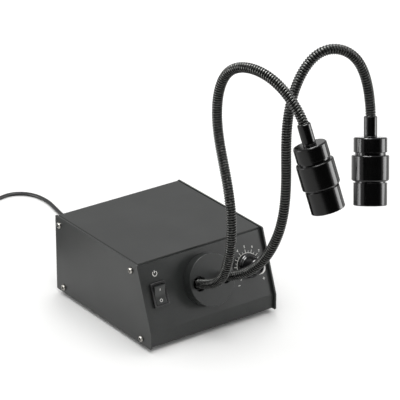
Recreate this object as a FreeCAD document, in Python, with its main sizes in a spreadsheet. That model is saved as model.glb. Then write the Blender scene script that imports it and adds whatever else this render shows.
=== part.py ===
import FreeCAD, Part
import math
import os
import re
import Sketcher
from FreeCAD import Placement, Rotation, Vector

# Fiber optic bench illuminator with two gooseneck light guides, in millimetres.
# Places are counted from under the middle of the housing, on the surface its feet stand on.
# The pieces are then moved so that the exported origin is under the rear right foot.
# X runs to the right along the front, Y towards the back, Z up.

doc = FreeCAD.newDocument("illuminator")
sheet = doc.addObject("Spreadsheet::Sheet", "Sizes")

SIZES = {
    # folded sheet housing
    "housing_width": 130.0,
    "housing_depth": 144.0,
    "side_height": 70.0,
    "front_setback": 20.0,
    "lip_height": 14.5,
    "sheet_thickness": 1.5,
    "sheet_gap": 0.2,
    "cheek_proud": 2.5,
    "rear_inset": 2.0,
    "pan_lift": 1.0,
    "pan_flange_rise": 10.0,
    "front_flange_rise": 7.0,
    "cover_flange_drop": 13.0,
    "cover_bend_radius": 1.5,
    "panel_bend_radius": 0.8,
    "top_flange_length": 9.0,
    "cheek_corner_radius": 1.2,
    "overrun": 2.0,
    # screws that hold the cheeks, from the front lip and the lower edge
    "screw_head_diameter": 5.6,
    "screw_head_height": 1.8,
    "screw_head_top_share": 0.7,
    "screw_shank_diameter": 2.9,
    "screw_shank_length": 5.0,
    "screw_hole_clearance": 0.5,
    "upper_screw_drop": 7.5,
    "lower_screw_height": 5.2,
    "front_upper_screw_back": 28.5,
    "front_lower_screw_back": 14.0,
    "rear_upper_screw_inset": 6.5,
    "rear_lower_screw_inset": 11.5,
    # feet
    "foot_diameter": 12.0,
    "foot_top_diameter": 14.0,
    "foot_height": 3.5,
    "foot_inset_across": 15.0,
    "foot_inset_along": 16.0,
    # vents
    "vent_slot_length": 30.0,
    "vent_slot_width": 3.0,
    "vent_pitch": 6.0,
    "vent_count": 6,
    "vent_front_inset": 58.0,
    # control line on the sloped panel, as a share of its height
    "controls_share": 0.5099,
    # collar that holds the two necks
    "collar_diameter": 45.0,
    "collar_thickness": 10.0,
    "collar_edge": 0.6,
    "neck_spacing": 26.0,
    "collar_recess_diameter": 12.5,
    "bush_length": 6.5,
    "collar_screw_radius": 19.5,
    "collar_screw_depth": 5.0,
    # goosenecks and light guides
    "neck_diameter": 8.5,
    "neck_groove_depth": 0.75,
    "neck_bore": 5.6,
    "neck_clearance": 0.15,
    "neck_rib_count": 30,
    "rib_rise_share": 0.12,
    "rib_crest_share": 0.76,
    "neck_span": 100.0,
    "neck_tip_length": 9.0,
    "guide_diameter": 4.5,
    "guide_sides": 8,
    "guide_overhang": 6.0,
    # light engine behind the collar
    "panel_opening_diameter": 33.0,
    "guide_block_diameter": 32.0,
    "guide_block_length": 16.0,
    "guide_fit": 0.15,
    "condenser_diameter": 9.0,
    "condenser_edge": 1.2,
    "condenser_crown": 2.0,
    "condenser_seat_depth": 2.6,
    "led_board_diameter": 34.0,
    "led_board_thickness": 1.6,
    "led_board_gap": 2.4,
    "led_size": 3.5,
    "led_height": 0.9,
    "sink_width": 46.0,
    "sink_height_share": 0.6,
    "sink_base": 4.0,
    "sink_depth": 22.0,
    "fin_count": 9,
    "fin_thickness": 1.4,
    "post_across_flats": 5.0,
    "post_spacing_across": 38.0,
    "post_edge_inset": 4.0,
    # dimmer
    "dimmer_share": 0.33846,
    "pot_diameter": 16.0,
    "pot_depth": 8.0,
    "pot_bush_diameter": 7.0,
    "pot_bush_length": 6.5,
    "pot_nut_across_flats": 10.0,
    "pot_nut_thickness": 2.0,
    "shaft_diameter": 6.0,
    "shaft_clearance": 0.05,
    "shaft_length": 13.0,
    "knob_diameter": 21.0,
    "knob_top_diameter": 15.5,
    "knob_height": 14.5,
    "knob_skirt_height": 3.0,
    "knob_edge": 0.9,
    "knob_wall": 1.6,
    "knob_lift": 0.6,
    "knob_pointer_width": 1.6,
    "knob_pointer_height": 0.4,
    "knob_pointer_angle": 28.0,
    # power switch
    "switch_share": 0.36923,
    "bezel_width": 15.0,
    "bezel_height": 21.0,
    "bezel_thickness": 2.0,
    "switch_body_width": 12.8,
    "switch_body_height": 18.8,
    "switch_body_depth": 13.0,
    "switch_cut_clearance": 0.2,
    "rocker_width": 10.4,
    "rocker_height": 16.4,
    "rocker_clearance": 0.25,
    "rocker_end_rise": 3.4,
    "rocker_end_taper": 0.45,
    "rocker_waist_rise": 2.0,
    "rocker_foot_width": 5.0,
    "rocker_foot_depth": 6.0,
    "rocker_tilt": 9.0,
    # rear fan
    "fan_size": 40.0,
    "fan_thickness": 10.0,
    "fan_bore": 38.0,
    "fan_hub_diameter": 16.0,
    "fan_hub_length": 8.0,
    "fan_tip_gap": 0.8,
    "fan_blade_count": 7,
    "fan_blade_chord": 9.0,
    "fan_blade_thickness": 1.0,
    "fan_blade_pitch": 38.0,
    "fan_axle_diameter": 2.0,
    "fan_strut_width": 3.0,
    "fan_strut_thickness": 1.2,
    "fan_screw_spacing": 32.0,
    "fan_offset": 28.0,
    "fan_centre_height": 36.0,
    "grille_slot_count": 7,
    "grille_slot_width": 2.6,
    "grille_slot_pitch": 5.0,
    "grille_slot_length": 30.0,
    # driver board
    "board_length": 56.0,
    "board_width": 44.0,
    "board_thickness": 1.6,
    "board_height": 12.0,
    "board_side_inset": 35.0,
    "board_centre_y": 22.0,
    "standoff_across_flats": 5.5,
    "standoff_inset": 5.0,
    "inductor_diameter": 12.0,
    "inductor_height": 9.0,
    "capacitor_diameter": 8.0,
    "capacitor_height": 14.0,
    "terminal_length": 16.0,
    "terminal_width": 8.0,
    "terminal_height": 9.0,
    # supply socket, plug and lead
    "socket_offset": 22.0,
    "socket_height": 20.0,
    "socket_flange_diameter": 14.0,
    "socket_flange_thickness": 1.5,
    "socket_body_diameter": 11.0,
    "socket_body_length": 13.0,
    "socket_bore": 5.8,
    "socket_bore_depth": 10.0,
    "plug_barrel_diameter": 5.5,
    "plug_barrel_length": 9.5,
    "plug_grip_diameter": 9.5,
    "plug_grip_length": 20.0,
    "plug_tail_diameter": 7.0,
    "plug_tail_length": 14.0,
    "plug_tail_end_diameter": 4.6,
    "lead_diameter": 3.5,
    "lead_sides": 8,
    "tie_thickness": 0.8,
    "tie_width": 7.0,
    "tie_clearance": 0.8,
    "tie_slack": 0.1,
    "coil_outer_radius": 28.0,
    "coil_inner_radius": 13.0,
    "coil_layer_step": 4.2,
    "coil_turns": 7.0,
    "coil_climb_turns": 0.5,
    "adapter_length": 64.0,
    "adapter_width": 36.0,
    "adapter_height": 29.0,
    "adapter_corner": 5.0,
    "adapter_neck_length": 12.0,
    "pin_diameter": 4.0,
    "pin_length": 19.0,
    "pin_spacing": 18.6,
    "relief_diameter": 7.0,
    "relief_length": 16.0,
    "relief_exit_height": 6.5,
    # heads
    "ferrule_diameter": 10.9,
    "ferrule_length": 17.0,
    "ferrule_edge": 0.6,
    "cap_diameter": 27.3,
    "cap_length": 12.0,
    "cap_edge": 0.9,
    "cap_floor": 4.0,
    "groove_diameter": 24.9,
    "groove_length": 2.4,
    "inner_tube_reach": 23.0,
    "inner_tube_wall": 1.6,
    "sleeve_diameter": 30.6,
    "sleeve_length": 21.0,
    "sleeve_edge": 1.2,
    "slide_clearance": 0.1,
    "barrel_diameter": 27.5,
    "barrel_length": 18.5,
    "barrel_gap": 1.2,
    "barrel_tail": 11.5,
    "barrel_edge": 0.5,
    "barrel_wall": 2.1,
    "lens_seat_depth": 6.0,
    "lens_edge": 2.0,
    "lens_crown": 2.6,
    "lens_step": 0.8,
    "lens_ring_length": 1.6,
    "lens_ring_wall": 1.6,
    "lens_ring_lift": 0.8,
    "lens_fit": 0.1,
}

for row, (alias, value) in enumerate(SIZES.items(), start=1):
    sheet.set(f"A{row}", alias)
    sheet.set(f"B{row}", str(value))
    sheet.setAlias(f"B{row}", alias)
doc.recompute()

WORD = re.compile(r"[a-z_]+")


def named(text):
    """An expression in plain size names, written for the expression engine."""
    return WORD.sub(lambda w: f"Sizes.{w[0]}" if w[0] in SIZES else w[0], text)


def number(text):
    """The value of an expression in plain size names."""
    found = sheet.evalExpression(named(text))
    return float(getattr(found, "Value", found))


def bind(thing, **texts):
    """Binds properties of a document object to expressions in plain size names."""
    for prop, text in texts.items():
        thing.setExpression(prop, named(text))


# Places that several pieces share
LEAN = "atan(front_setback / (side_height - lip_height))"
INNER_WIDTH = "(housing_width - 2 * sheet_thickness - 2 * sheet_gap)"
REAR_FACE = "(housing_depth / 2 - rear_inset)"
REAR_INSIDE = f"({REAR_FACE} - sheet_thickness)"
PAN_FLOOR = "(foot_height + pan_lift)"
SCREW_HOLE = "(screw_shank_diameter + screw_hole_clearance)"
SLOPE_RUN = "front_setback * controls_share"
PANEL_Y = f"-housing_depth / 2 + {SLOPE_RUN} + cheek_proud * cos({LEAN})"
PANEL_Z = f"foot_height + lip_height + controls_share * (side_height - lip_height) - cheek_proud * sin({LEAN})"


SWITCH_X = "(housing_width * switch_share)"
DIMMER_X = "(housing_width * dimmer_share)"
SINK_HEIGHT = "(side_height * sink_height_share)"
BOARD_X = "(housing_width / 2 - board_side_inset)"


def place(thing, x="0", y="0", z="0", axis=Vector(0, 0, 1), turn="0"):
    """Puts a piece at a point, turned about one axis, with both bound to the sheet."""
    thing.Placement = Placement(Vector(number(x), number(y), number(z)), Rotation(axis, number(turn)))
    for part, text in (("Base.x", x), ("Base.y", y), ("Base.z", z), ("Rotation.Angle", turn)):
        thing.setExpression(f"Placement.{part}", named(text))


def place_on_panel(thing, x="0", up="0", out="0", tip="0 deg"):
    """Puts a piece on the sloped panel: its own Z stands out of the panel, its own Y runs up it."""
    y = f"{PANEL_Y} + ({up}) * sin({LEAN}) - ({out}) * cos({LEAN})"
    z = f"{PANEL_Z} + ({up}) * cos({LEAN}) + ({out}) * sin({LEAN})"
    place(thing, x, y, z, Vector(1, 0, 0), f"90 deg - {LEAN} + {tip}")


def lift_sketch(drawn, height):
    """Moves a sketch out of its plane along the plane's normal."""
    drawn.AttachmentOffset = Placement(Vector(0, 0, number(height)), Rotation())
    drawn.setExpression("AttachmentOffset.Base.z", named(height))


def body(label):
    made = doc.addObject("PartDesign::Body", label)
    made.Label = label
    return made


def sketch_on(owner, role, name):
    """A sketch on one of a body's own origin planes."""
    drawn = owner.newObject("Sketcher::SketchObject", name)
    plane = [feature for feature in owner.Origin.OriginFeatures if feature.Role == role][0]
    drawn.AttachmentSupport = (plane, "")
    drawn.MapMode = "FlatFace"
    doc.recompute()
    return drawn


def outline(drawn, points):
    """Closes a polygon through points given as pairs of expressions, each corner held by two dimensions."""
    corners = [Vector(number(x), number(y), 0) for x, y in points]
    first = drawn.GeometryCount
    count = len(corners)
    for i in range(count):
        drawn.addGeometry(Part.LineSegment(corners[i], corners[(i + 1) % count]), False)
    for i in range(count):
        drawn.addConstraint(Sketcher.Constraint("Coincident", first + i, 2, first + (i + 1) % count, 1))
    for i, (x, y) in enumerate(points):
        for kind, text, value in (("DistanceX", x, corners[i].x), ("DistanceY", y, corners[i].y)):
            held = drawn.addConstraint(Sketcher.Constraint(kind, -1, 1, first + i, 1, value))
            drawn.setExpression(f"Constraints[{held}]", named(text))


def rectangle(drawn, x, y, width, height):
    """A rectangle about a centre."""
    left, right = f"{x} - ({width}) / 2", f"{x} + ({width}) / 2"
    low, high = f"{y} - ({height}) / 2", f"{y} + ({height}) / 2"
    outline(drawn, [(left, low), (right, low), (right, high), (left, high)])


def circle(drawn, x, y, diameter):
    centre = Vector(number(x), number(y), 0)
    at = drawn.addGeometry(Part.Circle(centre, Vector(0, 0, 1), number(diameter) / 2), False)
    for kind, text, value in (("DistanceX", x, centre.x), ("DistanceY", y, centre.y)):
        held = drawn.addConstraint(Sketcher.Constraint(kind, -1, 1, at, 3, value))
        drawn.setExpression(f"Constraints[{held}]", named(text))
    held = drawn.addConstraint(Sketcher.Constraint("Diameter", at, number(diameter)))
    drawn.setExpression(f"Constraints[{held}]", named(diameter))


def pad(owner, drawn, length, midplane=False, reverse=False):
    made = owner.newObject("PartDesign::Pad", "Pad")
    made.Profile = drawn
    made.Midplane = midplane
    made.Reversed = reverse
    bind(made, Length=length)
    return made


def pocket(owner, drawn, length, midplane=False, reverse=False):
    made = owner.newObject("PartDesign::Pocket", "Pocket")
    made.Profile = drawn
    made.Midplane = midplane
    made.Reversed = reverse
    bind(made, Length=length)
    return made


def soften(owner, kind, name, edges, **sizes):
    """A fillet or chamfer on edges of a body's last feature."""
    base = owner.Tip
    made = owner.newObject(f"PartDesign::{kind}", name)
    made.Base = (base, edges)
    bind(made, **sizes)
    return made


def turned(label, points):
    """A body turned about its own Z from a half profile of (radius, height) expressions."""
    made = body(label)
    drawn = sketch_on(made, "XZ_Plane", f"{label}_profile")
    outline(drawn, points)
    spun = made.newObject("PartDesign::Revolution", "Revolution")
    spun.Profile = drawn
    spun.ReferenceAxis = (drawn, ["V_Axis"])
    spun.Angle = 360
    return made


def group(label, pattern, places):
    """Separate like solids under one name, each a copy of a pattern piece."""
    doc.recompute()
    base = pattern.Shape.copy()
    base.Placement = Placement()
    made = doc.addObject("Part::Feature", label)
    made.Label = label
    made.Shape = Part.Compound([base.transformed(where.toMatrix()) for where in places])
    return made


# Housing, folded from sheet
CHEEK_SCREWS = [
    ("-housing_depth / 2 + front_upper_screw_back", "side_height - upper_screw_drop"),
    ("-housing_depth / 2 + front_lower_screw_back", "lower_screw_height"),
    ("housing_depth / 2 - rear_upper_screw_inset", "side_height - upper_screw_drop"),
    ("housing_depth / 2 - rear_lower_screw_inset", "lower_screw_height"),
]


def side_cheek(label, side):
    """A five-sided plate at one side, holed for its four screws."""
    cheek = body(label)
    drawn = sketch_on(cheek, "YZ_Plane", f"{label}_outline")
    outline(drawn, [
        ("-housing_depth / 2", "0"),
        ("-housing_depth / 2", "lip_height"),
        ("-housing_depth / 2 + front_setback", "side_height"),
        ("housing_depth / 2", "side_height"),
        ("housing_depth / 2", "0"),
    ])
    pad(cheek, drawn, "sheet_thickness", reverse=side < 0)
    doc.recompute()
    corners = [f"Edge{i}" for i, edge in enumerate(cheek.Shape.Edges, start=1)
               if abs(edge.tangentAt(edge.FirstParameter).x) > 0.9]
    soften(cheek, "Fillet", "Corners", corners, Radius="cheek_corner_radius")
    holes = sketch_on(cheek, "YZ_Plane", f"{label}_holes")
    for y, z in CHEEK_SCREWS:
        circle(holes, y, z, SCREW_HOLE)
    pocket(cheek, holes, "2 * (sheet_thickness + overrun)", midplane=True)
    place(cheek, x=f"{side} * (housing_width / 2 - sheet_thickness)", z="foot_height")
    return cheek


def flange_holes(owner, screws):
    """Holes through both side flanges of a folded sheet, in line with the cheek screws."""
    holes = sketch_on(owner, "YZ_Plane", "Flange_holes")
    for y, z in screws:
        circle(holes, y, f"{z} + foot_height", SCREW_HOLE)
    pocket(owner, holes, "housing_width", midplane=True)


def base_pan():
    """Floor, front flange and rear wall in one fold, with turned-up sides, vents and the rear cut-outs."""
    pan = body("base_pan")
    front = "(-housing_depth / 2 + cheek_proud + sheet_thickness + sheet_gap)"
    floor, floor_top = PAN_FLOOR, f"{PAN_FLOOR} + sheet_thickness"
    front_top = f"{PAN_FLOOR} + front_flange_rise"
    wall_top = "foot_height + side_height - sheet_thickness - sheet_gap"
    side = sketch_on(pan, "YZ_Plane", "Pan_side_view")
    outline(side, [
        (front, floor),
        (REAR_FACE, floor),
        (REAR_FACE, wall_top),
        (REAR_INSIDE, wall_top),
        (REAR_INSIDE, floor_top),
        (f"{front} + sheet_thickness", floor_top),
        (f"{front} + sheet_thickness", front_top),
        (front, front_top),
    ])
    pad(pan, side, INNER_WIDTH, midplane=True)
    half = f"{INNER_WIDTH} / 2"
    across = sketch_on(pan, "XZ_Plane", "Pan_flanges")
    for sign in ("-", ""):
        rectangle(across, f"{sign}({half} - sheet_thickness / 2)", f"{PAN_FLOOR} + pan_flange_rise / 2",
                  "sheet_thickness", "pan_flange_rise")
    pad(pan, across, f"2 * ({REAR_INSIDE} - overrun)", midplane=True)
    slot = sketch_on(pan, "XY_Plane", "Vent_slot")
    rectangle(slot, "-housing_width / 4", "housing_depth / 2 - vent_front_inset", "vent_slot_length", "vent_slot_width")
    first = pocket(pan, slot, f"{PAN_FLOOR} + sheet_thickness + overrun", reverse=True)
    vents = pan.newObject("PartDesign::LinearPattern", "Vents")
    vents.Originals = [first]
    vents.Direction = (slot, ["V_Axis"])
    vents.Reversed = True
    bind(vents, Length="vent_pitch * (vent_count - 1)", Occurrences="vent_count")
    pan.Tip = vents
    rear = sketch_on(pan, "XZ_Plane", "Rear_holes")
    fan_z = "foot_height + fan_centre_height"
    circle(rear, "socket_offset", "foot_height + socket_height", "socket_body_diameter + sheet_gap")
    for dx in (-1, 1):
        for dz in (-1, 1):
            circle(rear, f"-fan_offset + {dx} * fan_screw_spacing / 2", f"{fan_z} + {dz} * fan_screw_spacing / 2",
                   SCREW_HOLE)
    pocket(pan, rear, "housing_depth / 2 + overrun")
    bar = sketch_on(pan, "XZ_Plane", "Grille_slot")
    lowest = f"{fan_z} - grille_slot_pitch * (grille_slot_count - 1) / 2"
    rectangle(bar, "-fan_offset", lowest, "grille_slot_length", "grille_slot_width")
    slit = pocket(pan, bar, "housing_depth / 2 + overrun")
    grille = pan.newObject("PartDesign::LinearPattern", "Grille")
    grille.Originals = [slit]
    grille.Direction = (bar, ["V_Axis"])
    bind(grille, Length="grille_slot_pitch * (grille_slot_count - 1)", Occurrences="grille_slot_count")
    pan.Tip = grille
    flange_holes(pan, [CHEEK_SCREWS[1], CHEEK_SCREWS[3]])
    return pan


def front_panel():
    """Lip, slope and top flange in one folded sheet, cut for the switch, the collar and the dimmer."""
    panel = body("front_panel_blank")
    turn = f"tan({LEAN} / 2)"
    top_under = "foot_height + side_height - sheet_thickness - sheet_gap"
    outer_y = "(-housing_depth / 2 + cheek_proud)"
    inner_y = "(-housing_depth / 2 + cheek_proud + sheet_thickness)"

    def slope_y(height, inset):
        return (f"-housing_depth / 2 + front_setback * (({height}) - foot_height - lip_height)"
                f" / (side_height - lip_height) + ({inset}) / cos({LEAN})")

    side = sketch_on(panel, "YZ_Plane", "Panel_side_view")
    outline(side, [
        (outer_y, PAN_FLOOR),
        (outer_y, f"foot_height + lip_height - cheek_proud * {turn}"),
        (slope_y(top_under, "cheek_proud"), top_under),
        (f"{slope_y(top_under, 'cheek_proud')} + top_flange_length", top_under),
        (f"{slope_y(top_under, 'cheek_proud')} + top_flange_length", f"{top_under} - sheet_thickness"),
        (slope_y(f"{top_under} - sheet_thickness", "cheek_proud + sheet_thickness"), f"{top_under} - sheet_thickness"),
        (inner_y, f"foot_height + lip_height - (cheek_proud + sheet_thickness) * {turn}"),
        (inner_y, PAN_FLOOR),
    ])
    pad(panel, side, INNER_WIDTH, midplane=True)
    doc.recompute()
    for name, face, radius in (("Lip_bend_outside", outer_y, "panel_bend_radius + sheet_thickness"),
                               ("Lip_bend_inside", inner_y, "panel_bend_radius")):
        doc.recompute()
        bend = [f"Edge{i}" for i, edge in enumerate(panel.Shape.Edges, start=1)
                if edge.Length > number("housing_width / 2")
                and abs(edge.BoundBox.Center.z - number("foot_height + lip_height")) < number("overrun")
                and abs(edge.BoundBox.Center.y - number(face)) < number("sheet_gap")]
        soften(panel, "Fillet", name, bend, Radius=radius)
    return panel


def panel_cutter():
    """Everything that is cut through the sloped panel, as one tool standing on it."""
    cutter = body("panel_cutter")
    drawn = sketch_on(cutter, "XY_Plane", "Panel_openings")
    rectangle(drawn, f"-{SWITCH_X}", "0", "switch_body_width + 2 * switch_cut_clearance",
              "switch_body_height + 2 * switch_cut_clearance")
    circle(drawn, "0", "0", "panel_opening_diameter")
    for sign in ("-", ""):
        circle(drawn, "0", f"{sign}collar_screw_radius", SCREW_HOLE)
    circle(drawn, DIMMER_X, "0", "pot_bush_diameter + sheet_gap")
    made = cutter.newObject("PartDesign::Pad", "Pad")
    made.Profile = drawn
    made.Midplane = True
    made.AllowMultiFace = True
    bind(made, Length="2 * (sheet_thickness + overrun)")
    place_on_panel(cutter)
    return cutter


def cut_piece(label, base, tools):
    """A piece with other shapes taken away, under its own name."""
    for tool in tools:
        made = doc.addObject("Part::Cut", label)
        made.Base = base
        made.Tool = tool
        base = made
    base.Label = label
    return base


def top_cover():
    """Flat top with both sides turned down inside the cheeks."""
    cover = body("top_cover")
    top = "foot_height + side_height"
    front = f"(-housing_depth / 2 + front_setback + cheek_proud / cos({LEAN}))"
    length = f"({REAR_FACE} - {front})"
    half = f"{INNER_WIDTH} / 2"
    across = sketch_on(cover, "XZ_Plane", "Cover_section")
    outline(across, [
        (f"-({half})", f"{top} - cover_flange_drop"),
        (f"-({half})", top),
        (half, top),
        (half, f"{top} - cover_flange_drop"),
        (f"{half} - sheet_thickness", f"{top} - cover_flange_drop"),
        (f"{half} - sheet_thickness", f"{top} - sheet_thickness"),
        (f"-({half} - sheet_thickness)", f"{top} - sheet_thickness"),
        (f"-({half} - sheet_thickness)", f"{top} - cover_flange_drop"),
    ])
    pad(cover, across, length, reverse=True)
    doc.recompute()
    ridge = [f"Edge{i}" for i, edge in enumerate(cover.Shape.Edges, start=1)
             if abs(edge.tangentAt(edge.FirstParameter).y) > 0.9
             and edge.BoundBox.ZMin > number(f"{top} - sheet_thickness / 2")]
    soften(cover, "Fillet", "Bends", ridge, Radius="cover_bend_radius")
    relief = sketch_on(cover, "XZ_Plane", "Front_relief")
    rectangle(relief, "0", f"{top} - sheet_thickness - cover_flange_drop / 2", INNER_WIDTH, "cover_flange_drop")
    pocket(cover, relief, "top_flange_length + sheet_gap")
    back = sketch_on(cover, "XZ_Plane", "Rear_relief")
    rectangle(back, "0", f"{top} - sheet_thickness - cover_flange_drop / 2", INNER_WIDTH, "cover_flange_drop")
    lift_sketch(back, f"-({length})")
    pocket(cover, back, "sheet_thickness + sheet_gap", reverse=True)
    holes = sketch_on(cover, "YZ_Plane", "Flange_holes")
    for y, z in (CHEEK_SCREWS[0], CHEEK_SCREWS[2]):
        circle(holes, f"{y} - {front}", f"{z} + foot_height", SCREW_HOLE)
    pocket(cover, holes, "housing_width", midplane=True)
    place(cover, y=front)
    return cover


def pan_head_screw():
    """Pattern screw: low head on +Z, shank on -Z, the underside of the head at zero."""
    head, shank = "screw_head_diameter / 2", "screw_shank_diameter / 2"
    return turned("screw_pattern", [
        ("0", "-screw_shank_length"),
        (shank, "-screw_shank_length"),
        (shank, "0"),
        (head, "0"),
        (head, "screw_head_height / 2"),
        ("screw_head_top_share * screw_head_diameter / 2", "screw_head_height"),
        ("0", "screw_head_height"),
    ])


def on_panel(x, up, out, flip=False):
    """A placement on the sloped panel from plain numbers."""
    lean = math.radians(number(LEAN))
    base = Vector(x, number(PANEL_Y) + up * math.sin(lean) - out * math.cos(lean),
                  number(PANEL_Z) + up * math.cos(lean) + out * math.sin(lean))
    turn = Rotation(Vector(1, 0, 0), 90 - math.degrees(lean))
    if flip:
        turn = turn.multiply(Rotation(Vector(1, 0, 0), 180))
    return Placement(base, turn)


def cheek_screws(label, side, pattern):
    places = []
    for y, z in CHEEK_SCREWS:
        base = Vector(side * number("housing_width") / 2, number(y), number(z) + number("foot_height"))
        places.append(Placement(base, Rotation(Vector(0, 1, 0), side * 90)))
    return group(label, pattern, places)


def rubber_feet():
    pattern = turned("foot_pattern", [
        ("0", "0"),
        ("foot_diameter / 2", "0"),
        ("foot_top_diameter / 2", PAN_FLOOR),
        ("0", PAN_FLOOR),
    ])
    x = number("housing_width / 2 - foot_inset_across")
    y = number("housing_depth / 2 - foot_inset_along")
    return group("rubber_feet", pattern,
                 [Placement(Vector(i * x, j * y, 0), Rotation()) for i in (-1, 1) for j in (-1, 1)])


# Collar and light engine
def neck_collar():
    """Thick disc with two stepped neck holes and two blind screw holes behind."""
    collar = body("neck_collar")
    face = sketch_on(collar, "XY_Plane", "Collar_face")
    circle(face, "0", "0", "collar_diameter")
    pad(collar, face, "collar_thickness")
    doc.recompute()
    rim = [f"Edge{i}" for i, edge in enumerate(collar.Shape.Edges, start=1)
           if edge.Closed and edge.BoundBox.ZMin > number("collar_thickness / 2")]
    soften(collar, "Chamfer", "Front_edge", rim, Size="collar_edge")
    necks = sketch_on(collar, "XY_Plane", "Neck_holes")
    for sign in ("-", ""):
        circle(necks, f"{sign}neck_spacing / 2", "0", "collar_recess_diameter")
    pocket(collar, necks, "collar_thickness + overrun", reverse=True)
    screws = sketch_on(collar, "XY_Plane", "Screw_holes")
    for sign in ("-", ""):
        circle(screws, "0", f"{sign}collar_screw_radius", SCREW_HOLE)
    pocket(collar, screws, "collar_screw_depth", reverse=True)
    place_on_panel(collar)
    return collar


def neck_bushes():
    """Rings that grip the necks at the back of the collar's holes."""
    outer = "collar_recess_diameter / 2 - slide_clearance"
    pattern = turned("bush_pattern", [
        ("neck_diameter / 2 + neck_clearance", "0"),
        (outer, "0"),
        (outer, "bush_length"),
        ("neck_diameter / 2 + neck_clearance", "bush_length"),
    ])
    half = number("neck_spacing / 2")
    return group("neck_bushes", pattern, [on_panel(x, 0, number("sheet_gap")) for x in (-half, half)])


def guide_block():
    """Holds the two guide ends in front of their condensers."""
    block = body("guide_block")
    end = sketch_on(block, "XY_Plane", "Block_end")
    circle(end, "0", "0", "guide_block_diameter")
    pad(block, end, "guide_block_length")
    seats = sketch_on(block, "XY_Plane", "Condenser_seats")
    bores = sketch_on(block, "XY_Plane", "Guide_bores")
    for sign in ("-", ""):
        circle(seats, f"{sign}neck_spacing / 2", "0", "condenser_diameter + 2 * lens_fit")
        circle(bores, f"{sign}neck_spacing / 2", "0", "guide_diameter + 2 * guide_fit")
    pocket(block, seats, "condenser_seat_depth", reverse=True)
    pocket(block, bores, "guide_block_length + overrun", reverse=True)
    place_on_panel(block, out="-guide_block_length")
    return block


def condenser_lenses():
    """Plano-convex lenses in the seats behind the guide ends, crowned towards the lamps."""
    pattern = crowned_lens("condenser_pattern", "condenser_diameter", "condenser_edge", "condenser_crown")
    half = number("neck_spacing / 2")
    out = -number("guide_block_length - condenser_seat_depth + lens_fit")
    return group("condenser_lenses", pattern, [on_panel(x, 0, out, flip=True) for x in (-half, half)])


def crowned_lens(label, diameter, edge, crown):
    """A disc with one face domed, turned about Z, its flat face at zero."""
    lens = body(label)
    drawn = sketch_on(lens, "XZ_Plane", f"{label}_profile")
    r, e, c = number(diameter) / 2, number(edge), number(crown)
    ball = (r * r + c * c) / (2 * c)
    middle = Vector(ball * math.sin(math.atan2(r, ball - c) / 2),
                    e + c - ball * (1 - math.cos(math.atan2(r, ball - c) / 2)), 0)
    corners = [Vector(0, 0, 0), Vector(r, 0, 0), Vector(r, e, 0), Vector(0, e + c, 0)]
    drawn.addGeometry(Part.LineSegment(corners[0], corners[1]), False)
    drawn.addGeometry(Part.LineSegment(corners[1], corners[2]), False)
    drawn.addGeometry(Part.Arc(corners[2], middle, corners[3]), False)
    drawn.addGeometry(Part.LineSegment(corners[3], corners[0]), False)
    drawn.addConstraint(Sketcher.Constraint("Coincident", 0, 1, -1, 1))
    drawn.addConstraint(Sketcher.Constraint("Coincident", 0, 2, 1, 1))
    drawn.addConstraint(Sketcher.Constraint("Coincident", 1, 2, 2, 1))
    drawn.addConstraint(Sketcher.Constraint("Coincident", 2, 2, 3, 1))
    drawn.addConstraint(Sketcher.Constraint("Coincident", 3, 2, 0, 1))
    drawn.addConstraint(Sketcher.Constraint("Horizontal", 0))
    drawn.addConstraint(Sketcher.Constraint("Vertical", 1))
    drawn.addConstraint(Sketcher.Constraint("Vertical", 3))
    drawn.addConstraint(Sketcher.Constraint("PointOnObject", 2, 3, -2))
    for at, text in ((0, f"({diameter}) / 2"), (1, edge), (3, f"({edge}) + ({crown})")):
        held = drawn.addConstraint(Sketcher.Constraint("Distance", at, number(text)))
        drawn.setExpression(f"Constraints[{held}]", named(text))
    spun = lens.newObject("PartDesign::Revolution", "Revolution")
    spun.Profile = drawn
    spun.ReferenceAxis = (drawn, ["V_Axis"])
    spun.Angle = 360
    return lens


def led_board():
    """Round board with one lamp in line with each guide."""
    board = body("led_board")
    disc = sketch_on(board, "XY_Plane", "Board_disc")
    circle(disc, "0", "0", "led_board_diameter")
    pad(board, disc, "led_board_thickness")
    place_on_panel(board, out="-(guide_block_length + led_board_gap + led_board_thickness)")
    return board


def led_emitters():
    pattern = doc.addObject("Part::Box", "led_pattern")
    bind(pattern, Length="led_size", Width="led_size", Height="led_height")
    half = number("neck_spacing / 2")
    out = -number("guide_block_length + led_board_gap")
    shift = number("led_size / 2")
    return group("led_emitters", pattern,
                 [on_panel(x, 0, out).multiply(Placement(Vector(-shift, -shift, 0), Rotation()))
                  for x in (-half, half)])


SINK_FACE = "(guide_block_length + led_board_gap + led_board_thickness)"


def heat_sink():
    """Finned aluminium block behind the lamps."""
    sink = body("heat_sink")
    plate = sketch_on(sink, "XY_Plane", "Sink_plate")
    rectangle(plate, "0", "0", "sink_width", SINK_HEIGHT)
    pad(sink, plate, "sink_base")
    fin = sketch_on(sink, "XY_Plane", "Fin")
    rectangle(fin, "-sink_width / 2 + fin_thickness / 2", "0", "fin_thickness", SINK_HEIGHT)
    first = pad(sink, fin, "sink_depth")
    fins = sink.newObject("PartDesign::LinearPattern", "Fins")
    fins.Originals = [first]
    fins.Direction = (fin, ["H_Axis"])
    bind(fins, Length="sink_width - fin_thickness", Occurrences="fin_count")
    sink.Tip = fins
    y = f"{PANEL_Y} + {SINK_FACE} * cos({LEAN})"
    z = f"{PANEL_Z} - {SINK_FACE} * sin({LEAN})"
    place(sink, "0", y, z, Vector(1, 0, 0), f"-90 deg - {LEAN}")
    return sink


def hexagon(label, across_flats, length):
    made = doc.addObject("Part::Prism", label)
    made.Polygon = 6
    bind(made, Circumradius=f"({across_flats}) / 2 / cos(30)", Height=length)
    return made


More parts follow.
